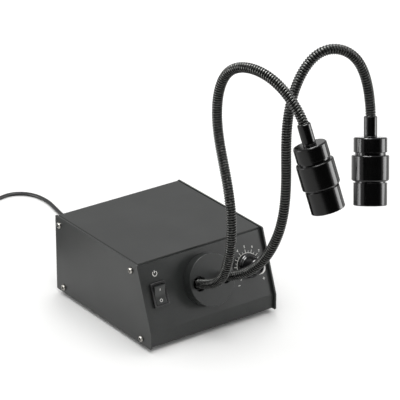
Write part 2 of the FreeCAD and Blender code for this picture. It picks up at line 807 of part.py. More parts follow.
def sink_posts():
    """Hexagonal spacers that carry the heat sink from the back of the panel."""
    pattern = hexagon("post_pattern", "post_across_flats", f"{SINK_FACE} - sheet_thickness")
    x, up = number("post_spacing_across / 2"), number(f"{SINK_HEIGHT} / 2 - post_edge_inset")
    out = -number(SINK_FACE)
    return group("sink_posts", pattern, [on_panel(i * x, j * up, out) for i in (-1, 1) for j in (-1, 1)])


def collar_screws(pattern):
    up, out = number("collar_screw_radius"), -number("sheet_thickness")
    return group("collar_screws", pattern, [on_panel(0, i * up, out, flip=True) for i in (-1, 1)])


# Dimmer
def dimmer_pot():
    """Rotary control body with its threaded bush through the panel."""
    bush, bore = "pot_bush_diameter / 2", "shaft_diameter / 2 + shaft_clearance"
    back = "-(sheet_thickness + pot_depth)"
    pot = turned("dimmer_pot", [
        ("0", back),
        ("pot_diameter / 2", back),
        ("pot_diameter / 2", "-sheet_thickness"),
        (bush, "-sheet_thickness"),
        (bush, "pot_bush_length - sheet_thickness"),
        (bore, "pot_bush_length - sheet_thickness"),
        (bore, f"{back} + sheet_thickness"),
        ("0", f"{back} + sheet_thickness"),
    ])
    place_on_panel(pot, x=DIMMER_X)
    return pot


def dimmer_nut():
    blank = hexagon("dimmer_nut_blank", "pot_nut_across_flats", "pot_nut_thickness")
    place_on_panel(blank, x=DIMMER_X, out="slide_clearance")
    bore = doc.addObject("Part::Cylinder", "dimmer_nut_bore")
    bind(bore, Radius="pot_bush_diameter / 2 + slide_clearance", Height="pot_nut_thickness + overrun")
    place_on_panel(bore, x=DIMMER_X, out="slide_clearance - overrun / 2")
    return cut_piece("dimmer_nut", blank, [bore])


def dimmer_shaft():
    shaft = doc.addObject("Part::Cylinder", "dimmer_shaft")
    shaft.Label = "dimmer_shaft"
    bind(shaft, Radius="shaft_diameter / 2", Height="shaft_length + pot_depth")
    place_on_panel(shaft, x=DIMMER_X, out="slide_clearance - pot_depth")
    return shaft


def dimmer_knob():
    """Skirted knob, hollow below, with a raised pointer line on its top and side."""
    bore = "shaft_diameter / 2 + shaft_clearance"
    hollow = "pot_nut_across_flats / 2 / cos(30) + knob_wall / 2"
    knob = turned("dimmer_knob", [
        (hollow, "0"),
        ("knob_diameter / 2", "0"),
        ("knob_diameter / 2", "knob_skirt_height"),
        ("knob_top_diameter / 2 + knob_wall / 2", "knob_skirt_height"),
        ("knob_top_diameter / 2", "knob_height - knob_edge"),
        ("knob_top_diameter / 2 - knob_edge", "knob_height"),
        ("0", "knob_height"),
        ("0", "shaft_length + knob_wall / 2"),
        (bore, "shaft_length + knob_wall / 2"),
        (bore, "pot_bush_length + knob_wall"),
        (hollow, "pot_bush_length + knob_wall"),
    ])
    line = sketch_on(knob, "XY_Plane", "Pointer")
    inner, outer = "knob_pointer_width", "(knob_top_diameter / 2 - 2 * knob_edge)"
    turn, half = "knob_pointer_angle", "knob_pointer_width / 2"
    outline(line, [
        (f"{reach} * cos({turn}) - {side} * {half} * sin({turn})", f"{reach} * sin({turn}) + {side} * {half} * cos({turn})")
        for reach, side in ((inner, -1), (outer, -1), (outer, 1), (inner, 1))
    ])
    lift_sketch(line, "knob_height + knob_pointer_height")
    pad(knob, line, "knob_pointer_height + knob_edge / 2", reverse=True)
    place_on_panel(knob, x=DIMMER_X, out="knob_lift")
    return knob


# Power switch
def switch_frame():
    """Snap-in frame: a thin bezel outside, a hollow body through the panel."""
    frame = body("switch_frame")
    rim = sketch_on(frame, "XY_Plane", "Bezel")
    rectangle(rim, "0", "0", "bezel_width", "bezel_height")
    pad(frame, rim, "bezel_thickness")
    box = sketch_on(frame, "XY_Plane", "Switch_body")
    rectangle(box, "0", "0", "switch_body_width", "switch_body_height")
    pad(frame, box, "switch_body_depth", reverse=True)
    well = sketch_on(frame, "XY_Plane", "Rocker_well")
    rectangle(well, "0", "0", "rocker_width + 2 * rocker_clearance", "rocker_height + 2 * rocker_clearance")
    pocket(frame, well, "bezel_thickness + overrun", reverse=True)
    pit = sketch_on(frame, "XY_Plane", "Rocker_pit")
    rectangle(pit, "0", "0", "rocker_width + 2 * rocker_clearance", "rocker_height + 2 * rocker_clearance")
    pocket(frame, pit, "rocker_foot_depth + overrun")
    place_on_panel(frame, x=f"-{SWITCH_X}")
    return frame


def switch_rocker():
    """Rocker with two sloped pads that meet at a waist, turned about a cross axis in the frame."""
    rocker = body("switch_rocker")
    side = sketch_on(rocker, "YZ_Plane", "Rocker_side")
    outline(side, [
        ("-rocker_height / 2 + rocker_end_taper", "rocker_end_rise"),
        ("0", "rocker_waist_rise"),
        ("rocker_height / 2 - rocker_end_taper", "rocker_end_rise"),
        ("rocker_height / 2", "0"),
        ("rocker_foot_width / 2", "-rocker_foot_depth"),
        ("-rocker_foot_width / 2", "-rocker_foot_depth"),
        ("-rocker_height / 2", "0"),
    ])
    pad(rocker, side, "rocker_width", midplane=True)
    place_on_panel(rocker, x=f"-{SWITCH_X}", tip="rocker_tilt * 1 deg")
    return rocker


# Fan
FAN_Z = "foot_height + fan_centre_height"


def fan_frame():
    """Square frame with a round duct, a hub plate on struts at the back and four screw holes."""
    frame = body("fan_frame")
    square = sketch_on(frame, "XY_Plane", "Frame_square")
    rectangle(square, "0", "0", "fan_size", "fan_size")
    circle(square, "0", "0", "fan_bore")
    pad(frame, square, "fan_thickness")
    plate = sketch_on(frame, "XY_Plane", "Hub_plate")
    circle(plate, "0", "0", "fan_hub_diameter")
    pad(frame, plate, "fan_strut_thickness")
    for number_of, turned_over in (("Strut_across", False), ("Strut_up", True)):
        strut = sketch_on(frame, "XY_Plane", number_of)
        long_way, short_way = "(fan_size + fan_bore) / 2", "fan_strut_width"
        if turned_over:
            rectangle(strut, "0", "0", short_way, long_way)
        else:
            rectangle(strut, "0", "0", long_way, short_way)
        pad(frame, strut, "fan_strut_thickness")
    holes = sketch_on(frame, "XY_Plane", "Frame_holes")
    for dx in (-1, 1):
        for dy in (-1, 1):
            circle(holes, f"{dx} * fan_screw_spacing / 2", f"{dy} * fan_screw_spacing / 2", SCREW_HOLE)
    pocket(frame, holes, "fan_thickness + overrun", reverse=True)
    axle = sketch_on(frame, "XY_Plane", "Axle")
    circle(axle, "0", "0", "fan_axle_diameter")
    pad(frame, axle, "fan_thickness / 2")
    place(frame, "-fan_offset", f"{REAR_INSIDE} - sheet_gap - fan_thickness", FAN_Z, Vector(1, 0, 0), "-90")
    return frame


def fan_rotor():
    """Hub bored for its axle, with pitched blades in a ring."""
    rotor = body("fan_rotor")
    hub = sketch_on(rotor, "XY_Plane", "Hub")
    circle(hub, "0", "0", "fan_hub_diameter")
    pad(rotor, hub, "fan_hub_length")
    root = sketch_on(rotor, "YZ_Plane", "Blade_section")
    half_run = "fan_blade_chord / 2 * cos(fan_blade_pitch)"
    half_rise = "fan_blade_chord / 2 * sin(fan_blade_pitch)"
    middle = "fan_hub_length / 2"
    outline(root, [
        (f"-{half_run}", f"{middle} - {half_rise}"),
        (half_run, f"{middle} + {half_rise}"),
        (half_run, f"{middle} + {half_rise} + fan_blade_thickness"),
        (f"-{half_run}", f"{middle} - {half_rise} + fan_blade_thickness"),
    ])
    blade = pad(rotor, root, "fan_bore / 2 - fan_tip_gap")
    ring = rotor.newObject("PartDesign::PolarPattern", "Blades")
    ring.Originals = [blade]
    ring.Axis = (hub, ["N_Axis"])
    ring.Angle = 360
    bind(ring, Occurrences="fan_blade_count")
    rotor.Tip = ring
    bore = sketch_on(rotor, "XY_Plane", "Axle_bore")
    circle(bore, "0", "0", "fan_axle_diameter + 2 * shaft_clearance")
    pocket(rotor, bore, "fan_thickness / 2 + overrun", reverse=True)
    start = f"{REAR_INSIDE} - sheet_gap - fan_thickness + fan_strut_thickness + sheet_gap"
    place(rotor, "-fan_offset", start, FAN_Z, Vector(1, 0, 0), "-90")
    return rotor


def fan_screws(pattern):
    y, z = number(REAR_FACE), number(FAN_Z)
    x, half = -number("fan_offset"), number("fan_screw_spacing / 2")
    return group("fan_screws", pattern,
                 [Placement(Vector(x + i * half, y, z + j * half), Rotation(Vector(1, 0, 0), -90))
                  for i in (-1, 1) for j in (-1, 1)])


# Driver board
def driver_board():
    board = body("driver_board")
    face = sketch_on(board, "XY_Plane", "Board")
    rectangle(face, "0", "0", "board_width", "board_length")
    pad(board, face, "board_thickness")
    place(board, BOARD_X, "board_centre_y", "board_height")
    return board


def board_standoffs():
    top = f"{PAN_FLOOR} + sheet_thickness"
    pattern = hexagon("standoff_pattern", "standoff_across_flats", f"board_height - ({top})")
    x = number("board_width / 2 - standoff_inset")
    y = number("board_length / 2 - standoff_inset")
    middle = Vector(number(BOARD_X), number("board_centre_y"), number(top))
    return group("board_standoffs", pattern,
                 [Placement(middle + Vector(i * x, j * y, 0), Rotation()) for i in (-1, 1) for j in (-1, 1)])


def board_parts():
    """Inductor, two capacitors and the terminal strip, standing on the board."""
    top = "board_height + board_thickness"
    coil = doc.addObject("Part::Cylinder", "inductor")
    bind(coil, Radius="inductor_diameter / 2", Height="inductor_height")
    place(coil, f"{BOARD_X} - board_width / 5", "board_centre_y", top)
    cans = []
    for step in (-1, 1):
        can = doc.addObject("Part::Cylinder", "capacitor")
        bind(can, Radius="capacitor_diameter / 2", Height="capacitor_height")
        place(can, f"{BOARD_X} + board_width / 5", f"board_centre_y + {step} * capacitor_diameter", top)
        cans.append(can)
    strip = doc.addObject("Part::Box", "terminal_strip")
    bind(strip, Length="terminal_length", Width="terminal_width", Height="terminal_height")
    place(strip, f"{BOARD_X} + board_width / 2 - terminal_length - standoff_inset",
          "board_centre_y + board_length / 2 - terminal_width - standoff_inset / 2", top)
    made = doc.addObject("Part::Compound", "board_parts")
    made.Label = "board_parts"
    made.Links = [coil, strip] + cans
    return made


# Supply socket, plug, lead and adapter
SOCKET_Z = "foot_height + socket_height"


def supply_socket():
    """Round panel socket with a centre pin, its flange outside the rear wall."""
    flange, barrel, bore = "socket_flange_diameter / 2", "socket_body_diameter / 2", "socket_bore / 2"
    socket = turned("supply_socket", [
        ("0", "-socket_body_length"),
        (barrel, "-socket_body_length"),
        (barrel, "0"),
        (flange, "0"),
        (flange, "socket_flange_thickness"),
        (bore, "socket_flange_thickness"),
        (bore, "socket_flange_thickness - socket_bore_depth"),
        ("0", "socket_flange_thickness - socket_bore_depth"),
    ])
    place(socket, "socket_offset", REAR_FACE, SOCKET_Z, Vector(1, 0, 0), "-90")
    return socket


def supply_plug():
    """Moulded plug with its barrel in the socket and a tapered tail."""
    grip, tail, end = "plug_grip_diameter / 2", "plug_tail_diameter / 2", "plug_tail_end_diameter / 2"
    plug = turned("supply_plug", [
        ("0", "-plug_barrel_length"),
        ("plug_barrel_diameter / 2", "-plug_barrel_length"),
        ("plug_barrel_diameter / 2", "0"),
        (grip, "0"),
        (grip, "plug_grip_length"),
        (tail, "plug_grip_length"),
        (end, "plug_grip_length + plug_tail_length"),
        ("0", "plug_grip_length + plug_tail_length"),
    ])
    place(plug, "socket_offset", f"{REAR_FACE} + socket_flange_thickness + sheet_gap", SOCKET_Z,
          Vector(1, 0, 0), "-90")
    return plug


CORNER_SHARE = 0.45


def filleted_path(points):
    """Straight runs joined by tangent arcs as large as each pair of runs allows."""
    edges, here, radii = [], points[0], []
    for before, corner, after in zip(points, points[1:], points[2:]):
        arriving, leaving = corner - before, after - corner
        turn = arriving.getAngle(leaving)
        shorter = min(arriving.Length, leaving.Length)
        cut = CORNER_SHARE * shorter
        radii.append(cut / math.tan(turn / 2))
        arriving.normalize()
        leaving.normalize()
        start, end = corner - arriving * cut, corner + leaving * cut
        bisector = (leaving - arriving).normalize()
        middle = corner + bisector * (cut / math.tan(turn / 2) * (1 / math.cos(turn / 2) - 1))
        edges.append(Part.LineSegment(here, start).toShape())
        edges.append(Part.Arc(start, middle, end).toShape())
        here = end
    edges.append(Part.LineSegment(here, points[-1]).toShape())
    return Part.Wire(edges), radii


HALF_SHARE = 0.5


def facets(point, along, first, diameter, sides):
    """A closed polygon about a point, square to a direction, with a flat towards its first axis."""
    second = along.cross(first)
    corners = []
    for i in range(sides):
        turn = 2 * math.pi * (i + HALF_SHARE) / sides
        corners.append(point + (first * math.cos(turn) + second * math.sin(turn)) * (diameter / 2))
    return Part.makePolygon(corners + corners[:1])


def swept(label, path, steady, diameter, sides):
    """A faceted tube along a path of tangent edges, as a Part::Feature."""
    start = path.Edges[0]
    first, last = start.FirstParameter, start.LastParameter
    along = start.tangentAt(first)
    centre = start.valueAt(first)
    if (centre - path.OrderedVertexes[0].Point).Length > number("slide_clearance"):
        centre, along = start.valueAt(last), -start.tangentAt(last)
    shell = Part.BRepOffsetAPI.MakePipeShell(path)
    shell.add(facets(centre, along, (steady - along * steady.dot(along)).normalize(), diameter, sides))
    shell.build()
    shell.makeSolid()
    made = doc.addObject("Part::Feature", label)
    made.Label = label
    made.Shape = shell.shape()
    ideal = sides / 2 * math.sin(2 * math.pi / sides) * (diameter / 2) ** 2 * path.Length
    print(label, "volume over section times length:", round(made.Shape.Volume / ideal, 3))
    return made


# The lead's route over the bench, its free points chosen by hand in real sizes, from the bench under the plug's end
PLUG_END = Vector(number("socket_offset"), number(f"{REAR_FACE} + socket_flange_thickness + sheet_gap")
                  + number("plug_grip_length + plug_tail_length"), number("foot_height + socket_height"))
UNDER_PLUG = Vector(PLUG_END.x, PLUG_END.y, 0)
COIL_CENTRE = UNDER_PLUG + Vector(-89, 133.3, number("tie_thickness + tie_slack + lead_diameter / 2"))
COIL_TOP = Vector(0, number("coil_outer_radius"), 0)
ADAPTER_PLACE = UNDER_PLUG + Vector(-146, 104.3, 0)
ADAPTER_EXIT = ADAPTER_PLACE + Vector(0, number("relief_length"), number("relief_exit_height"))
LEAD_ROUTE = [
    PLUG_END,
    PLUG_END + Vector(0, 15.3, -1),
    UNDER_PLUG + Vector(0.5, 31.3, 17),
    UNDER_PLUG + Vector(0.2, 46.3, 8.5),
    UNDER_PLUG + Vector(-0.8, 62.3, 2.6),
    UNDER_PLUG + Vector(-0.6, 84.3, 1.75),
    UNDER_PLUG + Vector(3, 107.3, 1.75),
    UNDER_PLUG + Vector(7.6, 130.8, 1.75),
    UNDER_PLUG + Vector(3.2, 152.8, 1.75),
    UNDER_PLUG + Vector(-12.5, 164.6, 1.75),
    UNDER_PLUG + Vector(-32, 159.9, 1.75),
    UNDER_PLUG + Vector(-52, 158.7, 1.9),
    COIL_CENTRE + COIL_TOP + Vector(18, 0, 0),
    COIL_CENTRE + COIL_TOP,
]
COIL_END = COIL_CENTRE + COIL_TOP + Vector(0, 0, number("coil_layer_step"))
TAIL_ROUTE = [
    COIL_END,
    COIL_END - Vector(13, 0, 0),
    UNDER_PLUG + Vector(-115, 162.3, 3),
    UNDER_PLUG + Vector(-131, 160.8, 1.75),
    UNDER_PLUG + Vector(-142.5, 149.8, 2.4),
    ADAPTER_EXIT + Vector(0, 15, -1),
    ADAPTER_EXIT,
]


def coil_point(turns):
    """A point of the put-away lead: it spirals in on the bench and out again one layer up."""
    outer, inner = number("coil_outer_radius"), number("coil_inner_radius")
    climb, layer = number("coil_climb_turns"), number("coil_layer_step")
    half = (number("coil_turns") - climb) / 2
    if turns <= half:
        radius, height = outer - (outer - inner) * turns / half, 0
    elif turns >= half + climb:
        radius, height = inner + (outer - inner) * (turns - half - climb) / half, layer
    else:
        share = (turns - half) / climb
        radius, height = inner, layer * share * share * (3 - 2 * share)
    angle = 2 * math.pi * turns + math.pi / 2
    return COIL_CENTRE + Vector(radius * math.cos(angle), radius * math.sin(angle), height)


def biarc(start, start_way, end, end_way):
    """Two arcs that leave one point and reach another in the given directions."""
    chord = end - start
    both = start_way + end_way
    bend = 2 * (1 - start_way.dot(end_way))
    reach = (math.sqrt(chord.dot(both) ** 2 + bend * chord.dot(chord)) - chord.dot(both)) / bend
    meeting = (start + end + (start_way - end_way) * reach) * 0.5
    return [arc_from(start, start_way, meeting), arc_from(end, -end_way, meeting).reversed()]


def arc_from(start, way, end):
    """The arc that leaves a point in a direction and ends at another point."""
    chord = end - start
    turn = way.getAngle(chord)
    across = (way - chord * (way.dot(chord) / chord.dot(chord))).normalize()
    middle = start + chord * 0.5 + across * (chord.Length / 2 * math.tan(turn / 2))
    return Part.Arc(start, middle, end).toShape()


QUARTER_SHARE = 0.25
NUDGE_SHARE = 0.001
COIL_SAMPLES = 48


def lead_coil():
    """The tied coil of spare lead, one unbroken tube on arcs."""
    turns = number("coil_turns")
    count = int(round(turns / QUARTER_SHARE))
    stops = [coil_point(turns * i / count) for i in range(count + 1)]
    ways = []
    for i in range(count + 1):
        before, after = turns * i / count - NUDGE_SHARE, turns * i / count + NUDGE_SHARE
        ways.append((coil_point(after) - coil_point(before)).normalize())
    ways[0] = ways[-1] = Vector(-1, 0, 0)
    edges = []
    for i in range(count):
        edges += biarc(stops[i], ways[i], stops[i + 1], ways[i + 1])
    path = Part.Wire(edges)
    print("lead_coil length", round(path.Length, 1), "least gap to itself", round(least_gap(turns), 2))
    return swept("lead_coil", path, Vector(0, 0, 1), number("lead_diameter"), int(number("lead_sides")))


def least_gap(turns):
    """Least gap between two stretches of the coil at least half a turn apart."""
    points = [coil_point(i / COIL_SAMPLES) for i in range(int(turns * COIL_SAMPLES) + 1)]
    apart = COIL_SAMPLES // 2
    nearest = min((a - b).Length for i, a in enumerate(points) for b in points[i + apart:])
    return nearest - number("lead_diameter")


def lead_run(label, points):
    path, radii = filleted_path(points)
    print(label, "length", round(path.Length, 1), "radii", [round(r, 1) for r in radii])
    return swept(label, path, Vector(0, 0, 1), number("lead_diameter"), int(number("lead_sides")))


def lead_tie():
    """A strap loop round the coil's turns at one side."""
    tie = body("lead_tie")
    ring = sketch_on(tie, "XZ_Plane", "Tie_ring")
    middle = "-(coil_outer_radius + coil_inner_radius) / 2"
    wide = "coil_outer_radius - coil_inner_radius + lead_diameter + 2 * tie_clearance"
    tall = "coil_layer_step + lead_diameter + 2 * tie_slack"
    rectangle(ring, middle, "coil_layer_step / 2", f"{wide} + 2 * tie_thickness", f"{tall} + 2 * tie_thickness")
    rectangle(ring, middle, "coil_layer_step / 2", wide, tall)
    pad(tie, ring, "tie_width", midplane=True)
    tie.Placement = Placement(COIL_CENTRE, Rotation())
    return tie


def supply_adapter():
    """Plug-in supply lying on the bench, with a raised nose round its pins."""
    case = body("supply_adapter")
    block = sketch_on(case, "XZ_Plane", "Case")
    rectangle(block, "0", "adapter_height / 2", "adapter_width", "adapter_height")
    pad(case, block, "adapter_length")
    doc.recompute()
    long_edges = [f"Edge{i}" for i, edge in enumerate(case.Shape.Edges, start=1)
                  if abs(edge.tangentAt(edge.FirstParameter).y) > 0.9]
    soften(case, "Fillet", "Case_corners", long_edges, Radius="adapter_corner")
    nose = sketch_on(case, "XZ_Plane", "Nose")
    rectangle(nose, "0", "adapter_height / 2", "pin_spacing + adapter_neck_length", "adapter_height / 2")
    pad(case, nose, "adapter_length + adapter_neck_length")
    case.Placement = Placement(ADAPTER_PLACE, Rotation())
    return case


def adapter_pins():
    pattern = doc.addObject("Part::Cylinder", "pin_pattern")
    bind(pattern, Radius="pin_diameter / 2", Height="pin_length")
    y = ADAPTER_PLACE.y - number("adapter_length + adapter_neck_length")
    half, z = number("pin_spacing / 2"), number("adapter_height / 2")
    return group("adapter_pins", pattern,
                 [Placement(Vector(ADAPTER_PLACE.x + i * half, y, z), Rotation(Vector(1, 0, 0), 90))
                  for i in (-1, 1)])


def adapter_relief():
    relief = turned("adapter_relief", [
        ("0", "0"),
        ("relief_diameter / 2", "0"),
        ("plug_tail_end_diameter / 2", "relief_length"),
        ("0", "relief_length"),
    ])
    relief.Placement = Placement(ADAPTER_PLACE + Vector(0, 0, number("relief_exit_height")), Rotation(Vector(1, 0, 0), -90))
    return relief


# Necks: the poles of each smooth curve, chosen by hand as shares of the neck span from the collar's face,
# and the way each head points
ARMS = {
    "left": {
        "side": -1,
        "pole_shares": [(0.001, -0.358, 0.132), (-0.001, -0.477, 0.68), (0.002, -0.354, 1.141),
                        (-0.005, -0.19, 1.565), (0.012, -0.297, 2.102), (0.172, -0.817, 2.09)],
        "tip_share": (0.236, -1.052, 1.739),
        "aim": Vector(0.133, -0.295, -0.946),
        "steady": Vector(0.96, 0.28, 0),
    },
    "right": {
        "side": 1,
        "pole_shares": [(0.093, -0.359, 0.162), (0.166, -0.59, 0.623), (0.18, -0.587, 1.137),
                        (0.148, -0.589, 1.675), (0.368, -0.662, 2.215), (0.792, -0.83, 2.091)],
        "tip_share": (0.83, -0.837, 1.528),
        "aim": Vector(-0.2, -0.28, -0.94),
        "steady": Vector(0.8, 0.6, 0),
    },
}
ROOT_POLE_SHARE = 0.149
TIP_POLE_SHARE = 0.064


def neck_path(arm):
    """Root of a neck on its panel, the way it leaves, and the smooth curve from the collar to the ferrule."""
    across = arm["side"] * number("neck_spacing / 2")
    root, face = on_panel(across, 0, number("sheet_gap")), on_panel(across, 0, number("collar_thickness"))
    out = root.Rotation.multVec(Vector(0, 0, 1))
    span = number("neck_span")
    tip = ferrule_mouth(arm)
    aim = Vector(arm["aim"]).normalize()
    free = [face.Base + Vector(*share) * span for share in arm["pole_shares"]]
    poles = [face.Base, face.Base + out * (ROOT_POLE_SHARE * span)] + free + [tip - aim * (TIP_POLE_SHARE * span), tip]
    spans = len(poles) - 3
    curve = Part.BSplineCurve()
    curve.buildFromPolesMultsKnots(poles, [4] + [1] * (spans - 1) + [4], list(range(spans + 1)), False, 3)
    return root.Base, out, curve, aim


def ferrule_mouth(arm):
    face = on_panel(arm["side"] * number("neck_spacing / 2"), 0, number("collar_thickness"))
    return face.Base + Vector(*arm["tip_share"]) * number("neck_span")


def stations(arm, distances):
    """Point, direction and steady first axis at each distance along a neck, straight beyond both ends of its curve."""
    root, out, curve, aim = neck_path(arm)
    lead_in = (curve.getPole(1) - root).Length
    free = curve.length()
    found = []
    for distance in distances:
        if distance <= lead_in:
            point, along = root + out * distance, out
        elif distance >= lead_in + free:
            point, along = curve.getPole(curve.NbPoles) + aim * (distance - lead_in - free), aim
        else:
            at = curve.parameterAtDistance(distance - lead_in, curve.FirstParameter)
            point, along = curve.value(at), Vector(*curve.tangent(at)[0]).normalize()
        steady = arm["steady"]
        found.append((point, along, (steady - along * steady.dot(along)).normalize()))
    return found


def neck_length(arm):
    root, _, curve, _ = neck_path(arm)
    return (curve.getPole(1) - root).Length + curve.length() + number("neck_tip_length")


def ring_wire(point, along, first, radius):
    """A circle whose seam lies on the steady axis."""
    turn = Rotation(first, along.cross(first), along, "ZXY")
    loop = Part.Wire(Part.makeCircle(radius))
    loop.Placement = Placement(point, turn)
    return loop


def gooseneck(name, arm):
    """Ribbed metal hose with its bore, ribs a ruled loft through four circles each."""
    total = neck_length(arm)
    crest = number("neck_diameter / 2")
    groove = number("neck_diameter / 2 - neck_groove_depth")
    count = int(number("neck_rib_count"))
    rise, top = number("rib_rise_share"), number("rib_crest_share")
    shares = [rib + share for rib in range(count) for share in (0, rise, rise + top)] + [count]
    radii = [groove, crest, crest] * count + [groove]
    places = stations(arm, [total * share / count for share in shares])
    outer = Part.makeLoft([ring_wire(*where, radius) for where, radius in zip(places, radii)], True, True)
    over = number("overrun")
    through = stations(arm, [-over] + [total * rib / count for rib in range(1, count)] + [total + over])
    sides = int(number("guide_sides"))
    inner = Part.makeLoft([facets(*where, number("neck_bore"), sides) for where in through], True, True)
    made = doc.addObject("Part::Feature", f"{name}_gooseneck")
    made.Label = f"{name}_gooseneck"
    made.Shape = outer.cut(inner)
    print(made.Label, "length", round(total, 1), "ribs", count)
    return made


def light_guide(name, arm):
    """Fibre bundle from the guide block, through the neck, into the head."""
    total = neck_length(arm)
    count = int(number("neck_rib_count"))
    back = number("guide_block_length - condenser_seat_depth - guide_fit + sheet_gap")
    reach = number("ferrule_length + guide_overhang - neck_tip_length")
    places = stations(arm, [-back] + [total * i / count for i in range(count + 1)] + [total + reach])
    sides = int(number("guide_sides"))
    made = doc.addObject("Part::Feature", f"{name}_light_guide")
    made.Label = f"{name}_light_guide"
    made.Shape = Part.makeLoft([facets(*where, number("guide_diameter"), sides) for where in places], True, True)
    return made


# Heads, each turned about its own axis, with zero at the ferrule's mouth
CAP = "ferrule_length"
SLEEVE = "(ferrule_length + cap_length + groove_length)"
BARREL = "(ferrule_length + cap_length + groove_length + sleeve_length + barrel_gap)"
FRONT = f"({BARREL} + barrel_length)"
GUIDE_HOLE = "(guide_diameter / 2 + guide_fit + slide_clearance)"


def ferrule(name):
    outer = "ferrule_diameter / 2"
    mouth = "neck_diameter / 2 + neck_clearance"
    return turned(f"{name}_ferrule", [
        (mouth, "0"),
        (f"{outer} - ferrule_edge", "0"),
        (outer, "ferrule_edge"),
        (outer, f"{CAP} - slide_clearance"),
        ("neck_diameter / 2", f"{CAP} - slide_clearance"),
        ("neck_diameter / 2", f"{CAP} + cap_floor"),
        (GUIDE_HOLE, f"{CAP} + cap_floor"),
        (GUIDE_HOLE, "neck_tip_length + ferrule_edge"),
        (mouth, "neck_tip_length + ferrule_edge"),
    ])


def head_cap(name):
    """Rear cap with the reduced inner tube that the grip sleeve sits on."""
    hole = "neck_diameter / 2 + slide_clearance"
    tube = "groove_diameter / 2"
    inner = "groove_diameter / 2 - inner_tube_wall"
    return turned(f"{name}_head_cap", [
        (hole, CAP),
        ("cap_diameter / 2 - cap_edge", CAP),
        ("cap_diameter / 2", f"{CAP} + cap_edge"),
        ("cap_diameter / 2", f"{CAP} + cap_length"),
        (tube, f"{CAP} + cap_length"),
        (tube, f"{CAP} + inner_tube_reach"),
        (inner, f"{CAP} + inner_tube_reach"),
        (inner, f"{CAP} + cap_floor"),
        (hole, f"{CAP} + cap_floor"),
    ])


def grip_sleeve(name):
    bore = "groove_diameter / 2 + slide_clearance"
    outer = "sleeve_diameter / 2"
    return turned(f"{name}_grip_sleeve", [
        (bore, SLEEVE),
        (f"{outer} - sleeve_edge / 2", SLEEVE),
        (outer, f"{SLEEVE} + sleeve_edge / 2"),
        (outer, f"{SLEEVE} + sleeve_length - sleeve_edge"),
        (f"{outer} - sleeve_edge", f"{SLEEVE} + sleeve_length"),
        (bore, f"{SLEEVE} + sleeve_length"),
    ])


def lens_barrel(name):
    """Front tube that slides in the sleeve to focus, stepped inside for the lens."""
    outer, tail = "barrel_diameter / 2", "groove_diameter / 2"
    seat = "barrel_diameter / 2 - barrel_wall"
    step = f"{seat} - lens_step"
    return turned(f"{name}_lens_barrel", [
        (step, f"{BARREL} - barrel_tail"),
        (tail, f"{BARREL} - barrel_tail"),
        (tail, BARREL),
        (outer, BARREL),
        (outer, f"{FRONT} - barrel_edge"),
        (f"{outer} - barrel_edge", FRONT),
        (seat, FRONT),
        (seat, f"{FRONT} - lens_seat_depth"),
        (step, f"{FRONT} - lens_seat_depth"),
    ])


def focus_lens(name):
    """Plano-convex lens on the barrel's step, crowned towards the front."""
    return crowned_lens(f"{name}_lens", "barrel_diameter - 2 * barrel_wall - 2 * lens_fit", "lens_edge", "lens_crown")


def lens_ring(name):
    """Thin ring that holds the lens from the front."""
    outer = "barrel_diameter / 2 - barrel_wall - lens_fit"
    low = f"{FRONT} - lens_seat_depth + lens_fit + lens_edge + lens_ring_lift"
    return turned(f"{name}_lens_ring", [
        (f"{outer} - lens_ring_wall", low),
        (outer, low),
        (outer, f"{low} + lens_ring_length"),
        (f"{outer} - lens_ring_wall", f"{low} + lens_ring_length"),
    ])


def head(name, arm):
    """All the pieces of one head, on its own axis."""
    turn = Rotation(Vector(0, 0, 1), arm["aim"])
    pieces = [ferrule(name), head_cap(name), grip_sleeve(name), lens_barrel(name), lens_ring(name)]
    mouth = ferrule_mouth(arm)
    for piece in pieces:
        piece.Placement = Placement(mouth, turn)
    lens = focus_lens(name)
    forward = Vector(0, 0, number(f"{FRONT} - lens_seat_depth + lens_fit"))
    lens.Placement = Placement(mouth + turn.multVec(forward), turn)
    return pieces + [lens]


# Assembly
screw = pan_head_screw()
cutter = panel_cutter()
pieces = [
    base_pan(),
    cut_piece("front_panel", front_panel(), [cutter]),
    top_cover(),
    side_cheek("left_cheek", -1),
    side_cheek("right_cheek", 1),
    cheek_screws("left_cheek_screws", -1, screw),
    cheek_screws("right_cheek_screws", 1, screw),
    rubber_feet(),
    neck_collar(),
    neck_bushes(),
    collar_screws(screw),
    guide_block(),
    condenser_lenses(),
    led_board(),
    led_emitters(),
    heat_sink(),
    sink_posts(),
    dimmer_pot(),
    dimmer_nut(),
    dimmer_shaft(),
    dimmer_knob(),
    switch_frame(),
    switch_rocker(),
    fan_frame(),
    fan_rotor(),
    fan_screws(screw),
    driver_board(),
    board_standoffs(),
    board_parts(),
    supply_socket(),
    supply_plug(),
    lead_run("supply_lead", LEAD_ROUTE),
    lead_coil(),
    lead_run("lead_tail", TAIL_ROUTE),
    lead_tie(),
    supply_adapter(),
    adapter_pins(),
    adapter_relief(),
]
for name, arm in ARMS.items():
    pieces += [gooseneck(name, arm), light_guide(name, arm)] + head(name, arm)
doc.recompute()

faults = [thing.Name for thing in doc.Objects if {"Invalid", "Error"} & set(thing.State)]
faults += [piece.Label for piece in pieces if piece.Shape.isNull() or not piece.Shape.isValid()]
if faults:
    raise RuntimeError("not built: " + ", ".join(faults))

home = Vector(number("foot_inset_across - housing_width / 2"), number("foot_inset_along - housing_depth / 2"), 0)
os.makedirs("parts", exist_ok=True)
for piece in pieces:
    piece.Shape.translated(home).exportStep(f"parts/{piece.Label}.step")
print(len(pieces), "nodes,", sum(len(piece.Shape.Solids) for piece in pieces), "solids")
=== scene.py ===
import math

import bmesh
import bpy
from mathutils import Matrix, Vector


